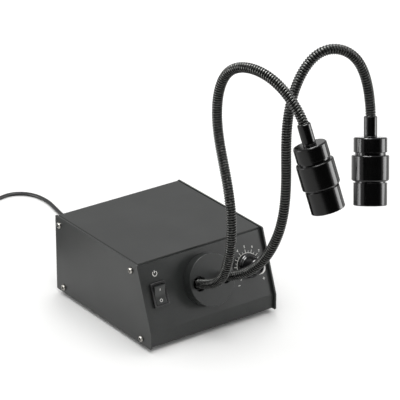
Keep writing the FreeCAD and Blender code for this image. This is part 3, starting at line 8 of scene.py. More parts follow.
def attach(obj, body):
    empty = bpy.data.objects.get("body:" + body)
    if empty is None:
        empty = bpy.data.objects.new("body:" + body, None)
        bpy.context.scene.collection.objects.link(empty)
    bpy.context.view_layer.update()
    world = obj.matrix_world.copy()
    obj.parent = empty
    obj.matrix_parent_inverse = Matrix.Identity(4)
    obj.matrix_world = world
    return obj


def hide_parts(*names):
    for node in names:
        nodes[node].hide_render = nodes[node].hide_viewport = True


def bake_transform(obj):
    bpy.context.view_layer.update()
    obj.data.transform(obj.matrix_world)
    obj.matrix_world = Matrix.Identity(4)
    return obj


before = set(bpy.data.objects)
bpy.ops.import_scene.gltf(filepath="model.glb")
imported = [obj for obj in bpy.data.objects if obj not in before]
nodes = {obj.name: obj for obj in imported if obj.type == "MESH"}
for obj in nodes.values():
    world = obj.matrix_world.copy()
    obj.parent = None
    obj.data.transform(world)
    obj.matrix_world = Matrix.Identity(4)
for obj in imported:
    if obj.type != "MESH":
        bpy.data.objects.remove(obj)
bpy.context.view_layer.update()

# Sizes are real millimetres, counted from under the middle of the housing.
# The frame's own origin is under the rear right foot, so home moves them there.
mm = 0.001
weld = 0.002 * mm    # corners nearer to each other than this become one
home = Vector((-50, -56, 0))
lean = math.atan(20 / 55.5)    # the control panel's slope, from upright
panelUp = Vector((0, math.sin(lean), math.cos(lean)))
panelOut = Vector((0, -math.cos(lean), math.sin(lean)))
panelMiddle = (-59.45, 45.452)    # y and z of the line that the collar and both controls sit on


def at(x, y, z):
    return (Vector((x, y, z)) + home) * mm


def standing(origin, outward, along=Vector((1, 0, 0))):
    # a place whose Z points outward and whose X lies as near as it can to along
    outward = Vector(outward).normalized()
    sideways = (along - outward * along.dot(outward)).normalized()
    place = Matrix((sideways, outward.cross(sideways), outward)).transposed().to_4x4()
    place.translation = origin
    return place


def onPanel(x, up=0.0, out=0.0):
    return standing(at(x, *panelMiddle) + (panelUp * up + panelOut * out) * mm, panelOut)


# Camera, at the photograph's viewing angle
cameraFacts = {"azimuth": -35.65, "elevation": 24.31, "distance": 2120.3, "lens": 224.4,
               "target": (27.8, -12, 93.8)}


def addCamera():
    turn, rise = math.radians(cameraFacts["azimuth"]), math.radians(cameraFacts["elevation"])
    back = Vector((math.sin(turn) * math.cos(rise), -math.cos(turn) * math.cos(rise), math.sin(rise)))
    spot = at(*cameraFacts["target"]) + back * cameraFacts["distance"] * mm
    bpy.ops.object.camera_add(location=spot, rotation=back.to_track_quat("Z", "Y").to_euler())
    camera = bpy.context.object
    camera.name = "studioCamera"
    camera.data.lens = cameraFacts["lens"]
    camera.data.sensor_width = 36
    camera.data.clip_end = 30
    bpy.context.scene.camera = camera


addCamera()
print("camera placed")


# Materials

def tint(code):
    # an sRGB hex colour as the linear one that a shader takes
    parts = [int(code[i:i + 2], 16) / 255 for i in (1, 3, 5)]
    return [c / 12.92 if c <= 0.04045 else ((c + 0.055) / 1.055) ** 2.4 for c in parts] + [1]


def addNode(tree, kind, settings=None, links=None):
    node = tree.nodes.new(kind)
    for key, value in (settings or {}).items():
        if isinstance(key, int) or key in node.inputs:
            node.inputs[key].default_value = value
        else:
            setattr(node, key, value)
    for key, socket in (links or {}).items():
        tree.links.new(socket, node.inputs[key])
    return node


def startMaterial(name, settings):
    material = bpy.data.materials.new(name)
    material.use_nodes = True
    tree = material.node_tree
    shader = tree.nodes["Principled BSDF"]
    for key, value in settings.items():
        shader.inputs[key].default_value = value
    return material, tree, shader


def powderCoat(name, light, dark):
    # powder-coated sheet steel: a baked polyester skin, satin, with the fine pebble that sets it apart
    # from wet paint
    material, tree, shader = startMaterial(name, {"IOR": 1.5, "Specular IOR Level": 0.43})
    spot = addNode(tree, "ShaderNodeTexCoord").outputs["Object"]
    # real pebble is about 0.4 mm, drawn at 0.9 mm so that it shows
    pebble = addNode(tree, "ShaderNodeTexNoise", {"Scale": 1 / 0.0009, "Detail": 2.0, "Roughness": 0.55},
                     {"Vector": spot})
    cloud = addNode(tree, "ShaderNodeTexNoise", {"Scale": 1 / 0.03, "Detail": 3.0}, {"Vector": spot})
    both = addNode(tree, "ShaderNodeMath", {"operation": "MULTIPLY_ADD", 1: 0.7}, {0: pebble.outputs["Fac"]})
    tree.links.new(cloud.outputs["Fac"], both.inputs[2])
    share = addNode(tree, "ShaderNodeMapRange", {"From Min": 0.6, "From Max": 1.1},
                    {"Value": both.outputs[0]})
    colour = addNode(tree, "ShaderNodeMix", {"data_type": "RGBA", 6: tint(dark), 7: tint(light)},
                     {0: share.outputs["Result"]})
    gloss = addNode(tree, "ShaderNodeMapRange", {"To Min": 0.3, "To Max": 0.44},
                    {"Value": pebble.outputs["Fac"]})
    bump = addNode(tree, "ShaderNodeBump", {"Strength": 0.35, "Distance": 0.00012},
                   {"Height": pebble.outputs["Fac"]})
    tree.links.new(colour.outputs[2], shader.inputs["Base Color"])
    tree.links.new(gloss.outputs["Result"], shader.inputs["Roughness"])
    tree.links.new(bump.outputs["Normal"], shader.inputs["Normal"])
    return material


def mouldedPlastic(name, light, dark, rough, grain, depth):
    # injection-moulded ABS or PVC: one colour all through, its skin textured by the mould's
    # spark-eroded grain
    material, tree, shader = startMaterial(name, {"IOR": 1.54})
    spot = addNode(tree, "ShaderNodeTexCoord").outputs["Object"]
    skin = addNode(tree, "ShaderNodeTexNoise", {"Scale": 1 / (grain * mm), "Detail": 3.0, "Roughness": 0.6},
                   {"Vector": spot})
    wear = addNode(tree, "ShaderNodeTexNoise", {"Scale": 1 / 0.012, "Detail": 2.0}, {"Vector": spot})
    colour = addNode(tree, "ShaderNodeMix", {"data_type": "RGBA", 6: tint(dark), 7: tint(light)},
                     {0: wear.outputs["Fac"]})
    gloss = addNode(tree, "ShaderNodeMapRange", {"To Min": rough * 0.85, "To Max": rough * 1.2},
                    {"Value": wear.outputs["Fac"]})
    bump = addNode(tree, "ShaderNodeBump", {"Strength": 0.3, "Distance": depth * mm},
                   {"Height": skin.outputs["Fac"]})
    tree.links.new(colour.outputs[2], shader.inputs["Base Color"])
    tree.links.new(gloss.outputs["Result"], shader.inputs["Roughness"])
    tree.links.new(bump.outputs["Normal"], shader.inputs["Normal"])
    return material


def turnedMetal(name, light, dark, rough, pitch, settings):
    # turned metal: fine lathe rings run round the axis, read from each piece's own length along it
    material, tree, shader = startMaterial(name, settings)
    along = addNode(tree, "ShaderNodeAttribute", {"attribute_name": "alongAxis"})
    spot = addNode(tree, "ShaderNodeTexCoord").outputs["Object"]
    step = addNode(tree, "ShaderNodeMath", {"operation": "MULTIPLY", 1: 1 / (pitch * mm)},
                   {0: along.outputs["Fac"]})
    line = addNode(tree, "ShaderNodeCombineXYZ", {}, {"X": step.outputs[0]})
    ring = addNode(tree, "ShaderNodeTexNoise", {"Scale": 1.0, "Detail": 2.0}, {"Vector": line.outputs[0]})
    patch = addNode(tree, "ShaderNodeTexNoise", {"Scale": 1 / 0.009, "Detail": 3.0}, {"Vector": spot})
    colour = addNode(tree, "ShaderNodeMix", {"data_type": "RGBA", 6: tint(dark), 7: tint(light)},
                     {0: patch.outputs["Fac"]})
    gloss = addNode(tree, "ShaderNodeMapRange", {"To Min": rough * 0.8, "To Max": rough * 1.25},
                    {"Value": ring.outputs["Fac"]})
    bump = addNode(tree, "ShaderNodeBump", {"Strength": 0.12, "Distance": 0.00005},
                   {"Height": ring.outputs["Fac"]})
    tree.links.new(colour.outputs[2], shader.inputs["Base Color"])
    tree.links.new(gloss.outputs["Result"], shader.inputs["Roughness"])
    tree.links.new(bump.outputs["Normal"], shader.inputs["Normal"])
    return material


def neckSteel():
    # black wound steel strip: its grey, flecked at random, is a painted highlight on the crests, and the
    # seams between the turns are painted near black as painted shade
    material, tree, shader = startMaterial("blackOxideStrip", {"Metallic": 1.0})
    spot = addNode(tree, "ShaderNodeTexCoord").outputs["Object"]
    crest = addNode(tree, "ShaderNodeAttribute", {"attribute_name": "crest"})
    fleck = addNode(tree, "ShaderNodeTexNoise", {"Scale": 1 / 0.0016, "Detail": 4.0, "Roughness": 0.7},
                    {"Vector": spot})
    sheenFleck = addNode(tree, "ShaderNodeMapRange", {"From Min": 0.42, "From Max": 0.72},
                     {"Value": fleck.outputs["Fac"]})
    # the grey laid on the crests as a painted highlight, varied at random by the flecks
    skin = addNode(tree, "ShaderNodeMix", {"data_type": "RGBA", 6: tint("#343534"), 7: tint("#666664")},
                   {0: sheenFleck.outputs["Result"]})
    # the crest share, 0 in the seams and 1 on the crests, lays the painted seam shade and the painted crest
    # highlight
    high = addNode(tree, "ShaderNodeMapRange", {"From Min": 0.35, "From Max": 0.95},
                   {"Value": crest.outputs["Fac"]})
    # 030303 is painted shade in the seams between the turns
    colour = addNode(tree, "ShaderNodeMix", {"data_type": "RGBA", 6: tint("#030303")},
                     {0: high.outputs["Result"], 7: skin.outputs[2]})
    gloss = addNode(tree, "ShaderNodeMapRange", {"To Min": 0.18, "To Max": 0.3},
                    {"Value": fleck.outputs["Fac"]})
    bump = addNode(tree, "ShaderNodeBump", {"Strength": 0.3, "Distance": 0.0001},
                   {"Height": fleck.outputs["Fac"]})
    tree.links.new(colour.outputs[2], shader.inputs["Base Color"])
    tree.links.new(gloss.outputs["Result"], shader.inputs["Roughness"])
    tree.links.new(bump.outputs["Normal"], shader.inputs["Normal"])
    return material


def clearGlass():
    # ground and polished crown glass: clear, with the straw-blue tone of its thin coating
    material, tree, shader = startMaterial("crownGlass", {
        "IOR": 1.52, "Transmission Weight": 1.0, "Base Color": tint("#eef4f6"),
        "Coat Weight": 0.3, "Coat Roughness": 0.03, "Coat Tint": tint("#c9d6ff")})
    spot = addNode(tree, "ShaderNodeTexCoord").outputs["Object"]
    dust = addNode(tree, "ShaderNodeTexNoise", {"Scale": 1 / 0.0011, "Detail": 5.0, "Roughness": 0.75},
                   {"Vector": spot})
    film = addNode(tree, "ShaderNodeMapRange",
                   {"From Min": 0.5, "From Max": 0.8, "To Min": 0.01, "To Max": 0.09},
                   {"Value": dust.outputs["Fac"]})
    tree.links.new(film.outputs["Result"], shader.inputs["Roughness"])
    return material


def fibreEnd():
    # polished face of a glass fibre bundle: bright cores in a honeycomb of darker cladding, fibres drawn
    # 0.35 mm apart
    material, tree, shader = startMaterial("fibreFace", {"IOR": 1.55, "Roughness": 0.12})
    spot = addNode(tree, "ShaderNodeTexCoord").outputs["Object"]
    cell = addNode(tree, "ShaderNodeTexVoronoi", {"feature": "DISTANCE_TO_EDGE", "Scale": 1 / 0.00035},
                   {"Vector": spot})
    core = addNode(tree, "ShaderNodeMapRange", {"From Min": 0.02, "From Max": 0.14},
                   {"Value": cell.outputs["Distance"]})
    colour = addNode(tree, "ShaderNodeMix", {"data_type": "RGBA", 6: tint("#5b5648"), 7: tint("#e9ead9")},
                     {0: core.outputs["Result"]})
    tree.links.new(colour.outputs[2], shader.inputs["Base Color"])
    return material


def circuitBoard(name, mask, track, pitch):
    # glass-epoxy board under a glossy solder mask, its copper tracks showing as lighter lines
    material, tree, shader = startMaterial(name, {
        "IOR": 1.5, "Roughness": 0.3, "Coat Weight": 0.4, "Coat Roughness": 0.15})
    spot = addNode(tree, "ShaderNodeTexCoord").outputs["Object"]
    tile = addNode(tree, "ShaderNodeTexBrick", {
        "Scale": 1 / (pitch * mm), "Mortar Size": 0.06, "Color1": tint(mask), "Color2": tint(mask),
        "Mortar": tint(track)}, {"Vector": spot})
    bump = addNode(tree, "ShaderNodeBump", {"Strength": 0.3, "Distance": 0.00003},
                   {"Height": tile.outputs["Fac"]})
    tree.links.new(tile.outputs["Color"], shader.inputs["Base Color"])
    tree.links.new(bump.outputs["Normal"], shader.inputs["Normal"])
    return material


def brushedMetal(name, light, dark, rough, stretch):
    # rolled or extruded metal: long fine draw lines along one way
    material, tree, shader = startMaterial(name, {"Metallic": 1.0})
    spot = addNode(tree, "ShaderNodeTexCoord").outputs["Object"]
    drawn = addNode(tree, "ShaderNodeMapping", {"Scale": stretch}, {"Vector": spot})
    grain = addNode(tree, "ShaderNodeTexNoise", {"Scale": 1 / 0.0006, "Detail": 3.0},
                    {"Vector": drawn.outputs[0]})
    colour = addNode(tree, "ShaderNodeMix", {"data_type": "RGBA", 6: tint(dark), 7: tint(light)},
                     {0: grain.outputs["Fac"]})
    gloss = addNode(tree, "ShaderNodeMapRange", {"To Min": rough * 0.8, "To Max": rough * 1.3},
                    {"Value": grain.outputs["Fac"]})
    bump = addNode(tree, "ShaderNodeBump", {"Strength": 0.15, "Distance": 0.00004},
                   {"Height": grain.outputs["Fac"]})
    tree.links.new(colour.outputs[2], shader.inputs["Base Color"])
    tree.links.new(gloss.outputs["Result"], shader.inputs["Roughness"])
    tree.links.new(bump.outputs["Normal"], shader.inputs["Normal"])
    return material


def printedInk():
    # screen-printed epoxy ink: flat white, a little thin where the mesh of the screen held it back
    material, tree, shader = startMaterial("whiteInk", {"IOR": 1.48, "Roughness": 0.55})
    spot = addNode(tree, "ShaderNodeTexCoord").outputs["Object"]
    mesh = addNode(tree, "ShaderNodeTexNoise", {"Scale": 1 / 0.0005, "Detail": 2.0}, {"Vector": spot})
    colour = addNode(tree, "ShaderNodeMix", {"data_type": "RGBA", 6: tint("#cfcfca"), 7: tint("#f6f6f2")},
                     {0: mesh.outputs["Fac"]})
    tree.links.new(colour.outputs[2], shader.inputs["Base Color"])
    return material


def boardComponents():
    # sleeved capacitors and a moulded coil: dark shrink film at the sides, bare aluminium or ferrite on top
    material, tree, shader = startMaterial("sleevedComponents", {"IOR": 1.5, "Roughness": 0.35})
    side = addNode(tree, "ShaderNodeNewGeometry").outputs["Normal"]
    parts = addNode(tree, "ShaderNodeSeparateXYZ", {}, {0: side})
    top = addNode(tree, "ShaderNodeMapRange", {"From Min": 0.8, "From Max": 0.95},
                  {"Value": parts.outputs["Z"]})
    spot = addNode(tree, "ShaderNodeTexCoord").outputs["Object"]
    film = addNode(tree, "ShaderNodeTexNoise", {"Scale": 1 / 0.004, "Detail": 2.0}, {"Vector": spot})
    sleeve = addNode(tree, "ShaderNodeMix", {"data_type": "RGBA", 6: tint("#16181d"), 7: tint("#23262e")},
                     {0: film.outputs["Fac"]})
    colour = addNode(tree, "ShaderNodeMix", {"data_type": "RGBA", 7: tint("#a9abad")},
                     {0: top.outputs["Result"], 6: sleeve.outputs[2]})
    tree.links.new(colour.outputs[2], shader.inputs["Base Color"])
    tree.links.new(top.outputs["Result"], shader.inputs["Metallic"])
    return material


def makeMaterials():
    return {
        "housingCoat": powderCoat("housingPowderCoat", "#282a29", "#1e201f"),
        "collarCoat": powderCoat("collarPowderCoat", "#2a2c2b", "#202221"),
        "neckStrip": neckSteel(),
        "headAnodised": turnedMetal("blackAnodisedAluminium", "#080808", "#040404", 0.16, 0.35,
                                    {"IOR": 1.45, "Specular IOR Level": 0.36}),
        "rockerPlastic": mouldedPlastic("satinBlackPolycarbonate", "#2c2e2d", "#232524", 0.3, 0.5, 0.02),
        "knobGloss": mouldedPlastic("glossBlackAbs", "#0c0c0d", "#060607", 0.12, 1.2, 0.01),
        "switchPlastic": mouldedPlastic("satinBlackNylon", "#151516", "#0c0c0d", 0.36, 0.5, 0.04),
        "adapterPlastic": mouldedPlastic("texturedBlackPolycarbonate", "#1b1b1c", "#121213", 0.55, 0.7, 0.08),
        "leadJacket": mouldedPlastic("blackPvcJacket", "#121213", "#0b0b0c", 0.42, 1.0, 0.04),
        "strapWeb": mouldedPlastic("blackNylonStrap", "#1a1a1b", "#0d0d0e", 0.8, 0.4, 0.12),
        "footRubber": mouldedPlastic("blackNitrileRubber", "#161616", "#0d0d0d", 0.85, 0.5, 0.08),
        "screwPlate": turnedMetal("nickelPlatedSteel", "#b4b2ad", "#82807b", 0.26, 0.2, {"Metallic": 1.0}),
        "aluminium": brushedMetal("extrudedAluminium", "#c3c5c7", "#9fa1a4", 0.34, (1.0, 0.08, 1.0)),
        "brass": brushedMetal("turnedBrass", "#d0a85a", "#a67f3a", 0.28, (1.0, 1.0, 0.1)),
        "nickel": brushedMetal("nickelPlatedBrass", "#dcd8cd", "#b9b5aa", 0.2, (1.0, 0.1, 1.0)),
        "glass": clearGlass(),
        "fibre": fibreEnd(),
        "whiteBoard": circuitBoard("whiteSolderMask", "#e4e5e1", "#c7c9c2", 4.0),
        "greenBoard": circuitBoard("greenSolderMask", "#0e4a2a", "#1d6f41", 2.6),
        "lampPhosphor": mouldedPlastic("yellowPhosphor", "#e8d54a", "#d6bd2c", 0.5, 0.3, 0.02),
        "ink": printedInk(),
        "components": boardComponents(),
    }


finishes = makeMaterials()
print("materials made:", len(finishes))


# Working helpers, as a hand would use the menus

def clearSelection():
    if bpy.context.object and bpy.context.object.mode != "OBJECT":
        bpy.ops.object.mode_set(mode="OBJECT")
    bpy.ops.object.select_all(action="DESELECT")


def pick(*pieces):
    clearSelection()
    for piece in pieces:
        piece.select_set(True)
    bpy.context.view_layer.objects.active = pieces[0]


def selectEdges(piece, test):
    # edit mode: selects only the edges that pass the test
    bpy.ops.mesh.select_mode(type="EDGE")
    bpy.ops.mesh.select_all(action="DESELECT")
    cage = bmesh.from_edit_mesh(piece.data)
    for edge in cage.edges:
        if test(edge):
            edge.select_set(True)
    cage.select_flush_mode()
    bmesh.update_edit_mesh(piece.data)


def applyModifier(piece, kind, **settings):
    modifier = piece.modifiers.new(kind.lower(), kind)
    for key, value in settings.items():
        setattr(modifier, key, value)
    pick(piece)
    bpy.ops.object.modifier_apply(modifier=modifier.name)
    return piece


def roundEdges(piece, width, segments=2, sharper=35):
    return applyModifier(piece, "BEVEL", width=width * mm, segments=segments, limit_method="ANGLE",
                         angle_limit=math.radians(sharper))


def smooth(piece, angle=38):
    # smooth shading that keeps large flat faces flat beside their rounded edges
    pick(piece)
    bpy.ops.object.shade_smooth_by_angle(angle=math.radians(angle))
    return applyModifier(piece, "WEIGHTED_NORMAL", keep_sharp=True)


def joined(name, pieces):
    if len(pieces) > 1:
        pick(*pieces)
        bpy.ops.object.join()
    pieces[0].name = pieces[0].data.name = name
    return pieces[0]


def copied(piece, place):
    # a copy with its own mesh, put in its place
    twin = bpy.data.objects.new(piece.name, piece.data.copy())
    bpy.context.scene.collection.objects.link(twin)
    return settled(twin, place)


def settled(piece, place):
    # moves a piece from its own axes to its place, and applies that to its mesh
    piece.matrix_world = place
    pick(piece)
    bpy.ops.object.transform_apply(location=True, rotation=True, scale=True)
    return piece


def markAxis(piece):
    # for the lathe rings, which lie wider apart on a flat face than along a side
    faceShare = 0.35
    marks = piece.data.attributes.new("alongAxis", "FLOAT", "POINT")
    for i, point in enumerate(piece.data.vertices):
        marks.data[i].value = point.co.z + faceShare * math.hypot(point.co.x, point.co.y)
    return piece


def drawLine(name, points):
    # one point, extruded from place to place
    clearSelection()
    bpy.ops.mesh.primitive_plane_add(size=mm)
    piece = bpy.context.object
    piece.name = piece.data.name = name
    bpy.ops.object.mode_set(mode="EDIT")
    bpy.ops.mesh.select_mode(type="VERT")
    bpy.ops.mesh.merge(type="CENTER")
    bpy.ops.transform.translate(value=Vector(points[0]) * mm)
    for before, after in zip(points, points[1:]):
        step = (Vector(after) - Vector(before)) * mm
        bpy.ops.mesh.extrude_region_move(TRANSFORM_OT_translate={"value": step})
    return piece


def spun(name, profile, steps=72, sweep=360.0, closed=False):
    # (radius, height) corners, spun round Z
    points = [(r, 0, z) for r, z in profile]
    piece = drawLine(name, points + points[:1] if closed else points)
    bpy.ops.mesh.select_all(action="SELECT")
    bpy.ops.mesh.remove_doubles(threshold=weld)
    # it turns clockwise
    bpy.ops.mesh.spin(steps=steps, angle=-math.radians(sweep), center=(0, 0, 0), axis=(0, 0, 1))
    bpy.ops.mesh.select_all(action="SELECT")
    bpy.ops.mesh.remove_doubles(threshold=weld)
    if sweep < 360 and closed:
        bpy.ops.mesh.fill_holes(sides=0)
    bpy.ops.mesh.normals_make_consistent(inside=False)
    bpy.ops.object.mode_set(mode="OBJECT")
    return piece


def plate(name, corners, thick):
    # a flat outline, filled and raised
    piece = drawLine(name, [(x, y, 0) for x, y in corners])
    bpy.ops.mesh.select_all(action="SELECT")
    bpy.ops.mesh.edge_face_add()
    bpy.ops.mesh.extrude_region_move(TRANSFORM_OT_translate={"value": (0, 0, thick * mm)})
    bpy.ops.mesh.select_all(action="SELECT")
    bpy.ops.mesh.normals_make_consistent(inside=False)
    bpy.ops.object.mode_set(mode="OBJECT")
    return piece


def block(name, size, centre):
    clearSelection()
    bpy.ops.mesh.primitive_cube_add(size=1, location=Vector(centre) * mm, scale=Vector(size) * mm)
    piece = bpy.context.object
    piece.name = piece.data.name = name
    bpy.ops.object.transform_apply(location=True, rotation=True, scale=True)
    return piece


def rod(name, diameter, length, centre, sides=64):
    clearSelection()
    bpy.ops.mesh.primitive_cylinder_add(vertices=sides, radius=diameter / 2 * mm, depth=length * mm,
                                        location=Vector(centre) * mm)
    piece = bpy.context.object
    piece.name = piece.data.name = name
    bpy.ops.object.transform_apply(location=True, rotation=True, scale=True)
    return piece


def cutBy(piece, *tools):
    for tool in tools:
        applyModifier(piece, "BOOLEAN", operation="DIFFERENCE", object=tool, solver="EXACT")
        bpy.data.objects.remove(tool)
    return piece


def dressed(piece, body, finish, slot, *stands):
    piece.data.materials.clear()
    piece.data.materials.append(finishes[finish])
    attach(piece, body)
    if stands:
        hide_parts(*stands)
    return piece


def panelCopy(name, node, edge):
    # a folded sheet from the frame, its loose triangles merged and its cut edges broken
    piece = bpy.data.objects.new(name, nodes[node].data.copy())
    bpy.context.scene.collection.objects.link(piece)
    pick(piece)
    bpy.ops.object.mode_set(mode="EDIT")
    bpy.ops.mesh.select_all(action="SELECT")
    bpy.ops.mesh.remove_doubles(threshold=weld)
    bpy.ops.mesh.dissolve_limited(angle_limit=math.radians(0.6))
    bpy.ops.object.mode_set(mode="OBJECT")
    roundEdges(piece, edge, 2, 40)
    return smooth(piece, 30)


# The supply lead, one free cord from its plug, through its coil, to its adapter
leadFacts = {
    "diameter": 3.5,
    "length": 1219,
    "toCoil": [(22, 105.7, 23.5), (22, 121, 22.5), (22.5, 137, 17), (22.2, 152, 8.5), (21.2, 168, 2.6),
               (21.4, 190, 1.75), (25, 213, 1.75), (29.6, 236.5, 1.75), (25.2, 258.5, 1.75),
               (9.5, 270.3, 1.75), (-10, 265.6, 1.75), (-30, 264.4, 1.9), (-49, 267.2, 2.65)],
    "toAdapter": [(-80, 267.2, 6.85), (-93, 268, 3.6), (-109, 266.5, 1.75), (-120.5, 255.5, 2.4),
                  (-124, 241, 5.5), (-124, 226, 6.5)],
}
coilFacts = {"centre": (-67, 239, 2.65), "outer": 28.3, "inner": 13.2, "layer": 4.2, "turns": 7, "climb": 0.5,
             "pointsPerTurn": 16}


def coilPoints():
    # spirals in on the bench, climbs a layer, and spirals out again
    facts = coilFacts
    half = (facts["turns"] - facts["climb"]) / 2
    points = []
    for i in range(facts["turns"] * facts["pointsPerTurn"] + 1):
        turn = i / facts["pointsPerTurn"]
        inward = min(turn, half) / half
        outward = max(turn - half - facts["climb"], 0) / half
        climb = min(max((turn - half) / facts["climb"], 0), 1)
        radius = facts["outer"] - (facts["outer"] - facts["inner"]) * (inward - outward)
        angle = math.tau * turn + math.pi / 2
        x, y, z = facts["centre"]
        points.append((x + radius * math.cos(angle), y + radius * math.sin(angle),
                       z + facts["layer"] * climb * climb * (3 - 2 * climb)))
    return points


def layLead():
    curve = bpy.data.curves.new("supplyLead", "CURVE")
    curve.dimensions = "3D"
    line = curve.splines.new("NURBS")
    route = leadFacts["toCoil"] + coilPoints() + leadFacts["toAdapter"]
    line.points.add(len(route) - 1)
    for point, place in zip(line.points, route):
        point.co = (*at(*place), 1)
    line.order_u = 3
    line.use_endpoint_u = True
    line.resolution_u = 4
    curve.bevel_depth = leadFacts["diameter"] / 2 * mm
    curve.bevel_resolution = 3
    curve.use_fill_caps = True
    lead = bpy.data.objects.new("supplyLead", curve)
    bpy.context.scene.collection.objects.link(lead)
    return dressed(lead, "root", "leadJacket", "lead_black", "supply_lead", "lead_coil", "lead_tail")


lead = layLead()
print("lead laid")


# Plug, strain reliefs, adapter and strap on the lead
plugFacts = {"foot": (22, 71.7, 23.5), "grip": 9.5, "gripLength": 20, "tail": 7, "barrel": 5.5, "bore": 2.2,
             "barrelLength": 9.5}


def makePlug():
    facts = plugFacts
    grip, end = facts["grip"] / 2, facts["gripLength"]
    moulding = spun("dcPlugGrip", [
        (0, 0), (grip - 0.5, 0), (grip, 0.5), (grip, 4), (grip - 0.35, 4.6), (grip - 0.35, 5.6), (grip, 6.2),
        (grip, 7.6), (grip - 0.35, 8.2), (grip - 0.35, 9.2), (grip, 9.8), (grip, 11.2), (grip - 0.35, 11.8),
        (grip - 0.35, 12.8), (grip, 13.4), (grip, end - 1.4), (grip - 0.6, end - 0.4),
        (facts["tail"] / 2, end), (3.42, end + 1.6), (2.75, end + 1.9), (2.75, end + 2.7), (3.22, end + 3),
        (3.1, end + 4.9), (2.6, end + 5.2), (2.6, end + 6), (2.95, end + 6.3), (2.82, end + 8.2),
        (2.4, end + 8.5), (2.4, end + 9.3), (2.65, end + 9.6), (2.5, end + 11.5), (2.2, end + 11.8),
        (2.2, end + 12.6), (2.35, end + 12.9), (2.3, end + 14), (0, end + 14)], 48)
    barrel, bore, tip = facts["barrel"] / 2, facts["bore"] / 2, -facts["barrelLength"]
    shell = spun("dcPlugBarrel", [
        (bore, tip), (barrel - 0.3, tip), (barrel, tip + 0.3), (barrel, -0.02), (bore, -0.02)],
        48, closed=True)
    place = standing(at(*facts["foot"]), (0, 1, 0))
    smooth(settled(moulding, place), 30)
    smooth(settled(markAxis(shell), place), 30)
    dressed(moulding, "root", "switchPlastic", "black_plastic", "supply_plug")
    dressed(shell, "root", "screwPlate", "screw_steel")
    return [moulding, shell]


reliefFacts = {
    "foot": (-124, 210, 6.5),    # on the adapter, whose case and pins are the frame's own nodes
    "profile": [(0, 0), (3.5, 0), (3.4, 2.4), (2.8, 2.7), (2.75, 3.5), (3.2, 3.8), (3.05, 5.6), (2.6, 5.9),
                (2.55, 6.7), (2.95, 7), (2.8, 8.8), (2.4, 9.1), (2.35, 9.9), (2.7, 10.2), (2.55, 12),
                (2.2, 12.3), (2.15, 13.1), (2.4, 13.4), (2.3, 16), (0, 16)],
}


def makeRelief():
    relief = spun("supplyRelief", reliefFacts["profile"], 40)
    smooth(settled(relief, standing(at(*reliefFacts["foot"]), (0, 1, 0))), 30)
    return dressed(relief, "root", "leadJacket", "black_plastic", "adapter_relief")


strap = dressed(panelCopy("leadStrap", "lead_tie", 0.3), "root", "strapWeb", "black_plastic", "lead_tie")
onLead = makePlug() + [makeRelief(), strap, nodes["supply_adapter"], nodes["adapter_pins"]]
print("plug, relief and strap made")


# Housing sheets, and how far each one's cut edges are broken
housingFacts = {"base_pan": 0.25, "front_panel": 0.3, "top_cover": 0.3, "left_cheek": 0.3, "right_cheek": 0.3}

for sheetNode, sheetEdge in housingFacts.items():
    words = sheetNode.split("_")
    sheet = panelCopy(words[0] + words[1].capitalize(), sheetNode, sheetEdge)
    dressed(sheet, "root", "housingCoat", "housing_paint", sheetNode)
print("housing sheets finished")


# Screws: one pan head with a cross recess, copied
screwFacts = {
    "head": 5.6, "height": 1.8, "shank": 2.9, "shankLength": 5,
    "slot": 0.95, "slotSpan": 3.4, "slotDepth": 1.3,
    "cheekPlane": 65,
    "cheekSpots": [(-43.5, 66.0), (-58, 8.7), (65.5, 66.0), (60.5, 8.7)],    # y and z of each
    "backPlane": 70, "fanCentre": (-28, 39.5), "fanReach": 16,
    "cheekTurns": (20, 65, 38, 80), "fanTurns": (10, 50, 75, 33),    # each was driven home by hand
}


def makeScrew():
    facts = screwFacts
    head, shank, tall, tip = facts["head"] / 2, facts["shank"] / 2, facts["height"], -facts["shankLength"]
    screw = spun("panHeadScrew", [
        (0, tip), (shank - 0.5, tip), (shank, tip + 0.6), (shank, 0), (head - 0.1, 0), (head, 0.15),
        (head, 0.75), (head * 0.94, 1.2), (head * 0.8, 1.6), (head * 0.55, 1.76), (0, tall)], 40)
    span, slot, deep = facts["slotSpan"], facts["slot"], 2 * facts["slotDepth"]
    cutBy(screw, *[block("crossBar", size, (0, 0, tall))
                   for size in ((span, slot, deep), (slot, span, deep))])
    return markAxis(roundEdges(screw, 0.07, 1, 50))


def screwSet(name, places, slotTurns, *stands):
    made = []
    for place, turn in zip(places, slotTurns):
        made.append(copied(pattern, place @ Matrix.Rotation(math.radians(turn), 4, "Z")))
    smooth(joined(name, made), 35)
    return dressed(made[0], "root", "screwPlate", "screw_steel", *stands)


pattern = makeScrew()
for side, word in ((-1, "left"), (1, "right")):
    places = [standing(at(side * screwFacts["cheekPlane"], y, z), (side, 0, 0), Vector((0, 1, 0)))
              for y, z in screwFacts["cheekSpots"]]
    screwSet(word + "CheekScrews", places, screwFacts["cheekTurns"], word + "_cheek_screws")
fanX, fanZ = screwFacts["fanCentre"]
fanSpots = [(fanX + i * screwFacts["fanReach"], fanZ + j * screwFacts["fanReach"])
            for i in (-1, 1) for j in (-1, 1)]
screwSet("fanScrews", [standing(at(x, screwFacts["backPlane"], z), (0, 1, 0)) for x, z in fanSpots],
         screwFacts["fanTurns"], "fan_screws")
bpy.data.objects.remove(pattern)
print("screws made")


# Feet: moulded bumpers with a dished underside
footFacts = {
    "spots": [(-50, -56), (-50, 56), (50, -56), (50, 56)],
    "profile": [(0, 0.6), (2.4, 0.6), (2.8, 0.05), (3.2, 0), (5.4, 0), (5.95, 0.35), (6.05, 0.9), (7, 4.2),
                (6.8, 4.5), (0, 4.5)],
}


def makeFeet():
    feet = []
    for x, y in footFacts["spots"]:
        foot = spun("rubberFoot", footFacts["profile"], 40)
        feet.append(settled(foot, Matrix.Translation(at(x, y, 0))))
    return smooth(joined("rubberFeet", feet), 35)


dressed(makeFeet(), "root", "footRubber", "foot_rubber", "rubber_feet")
print("feet made")


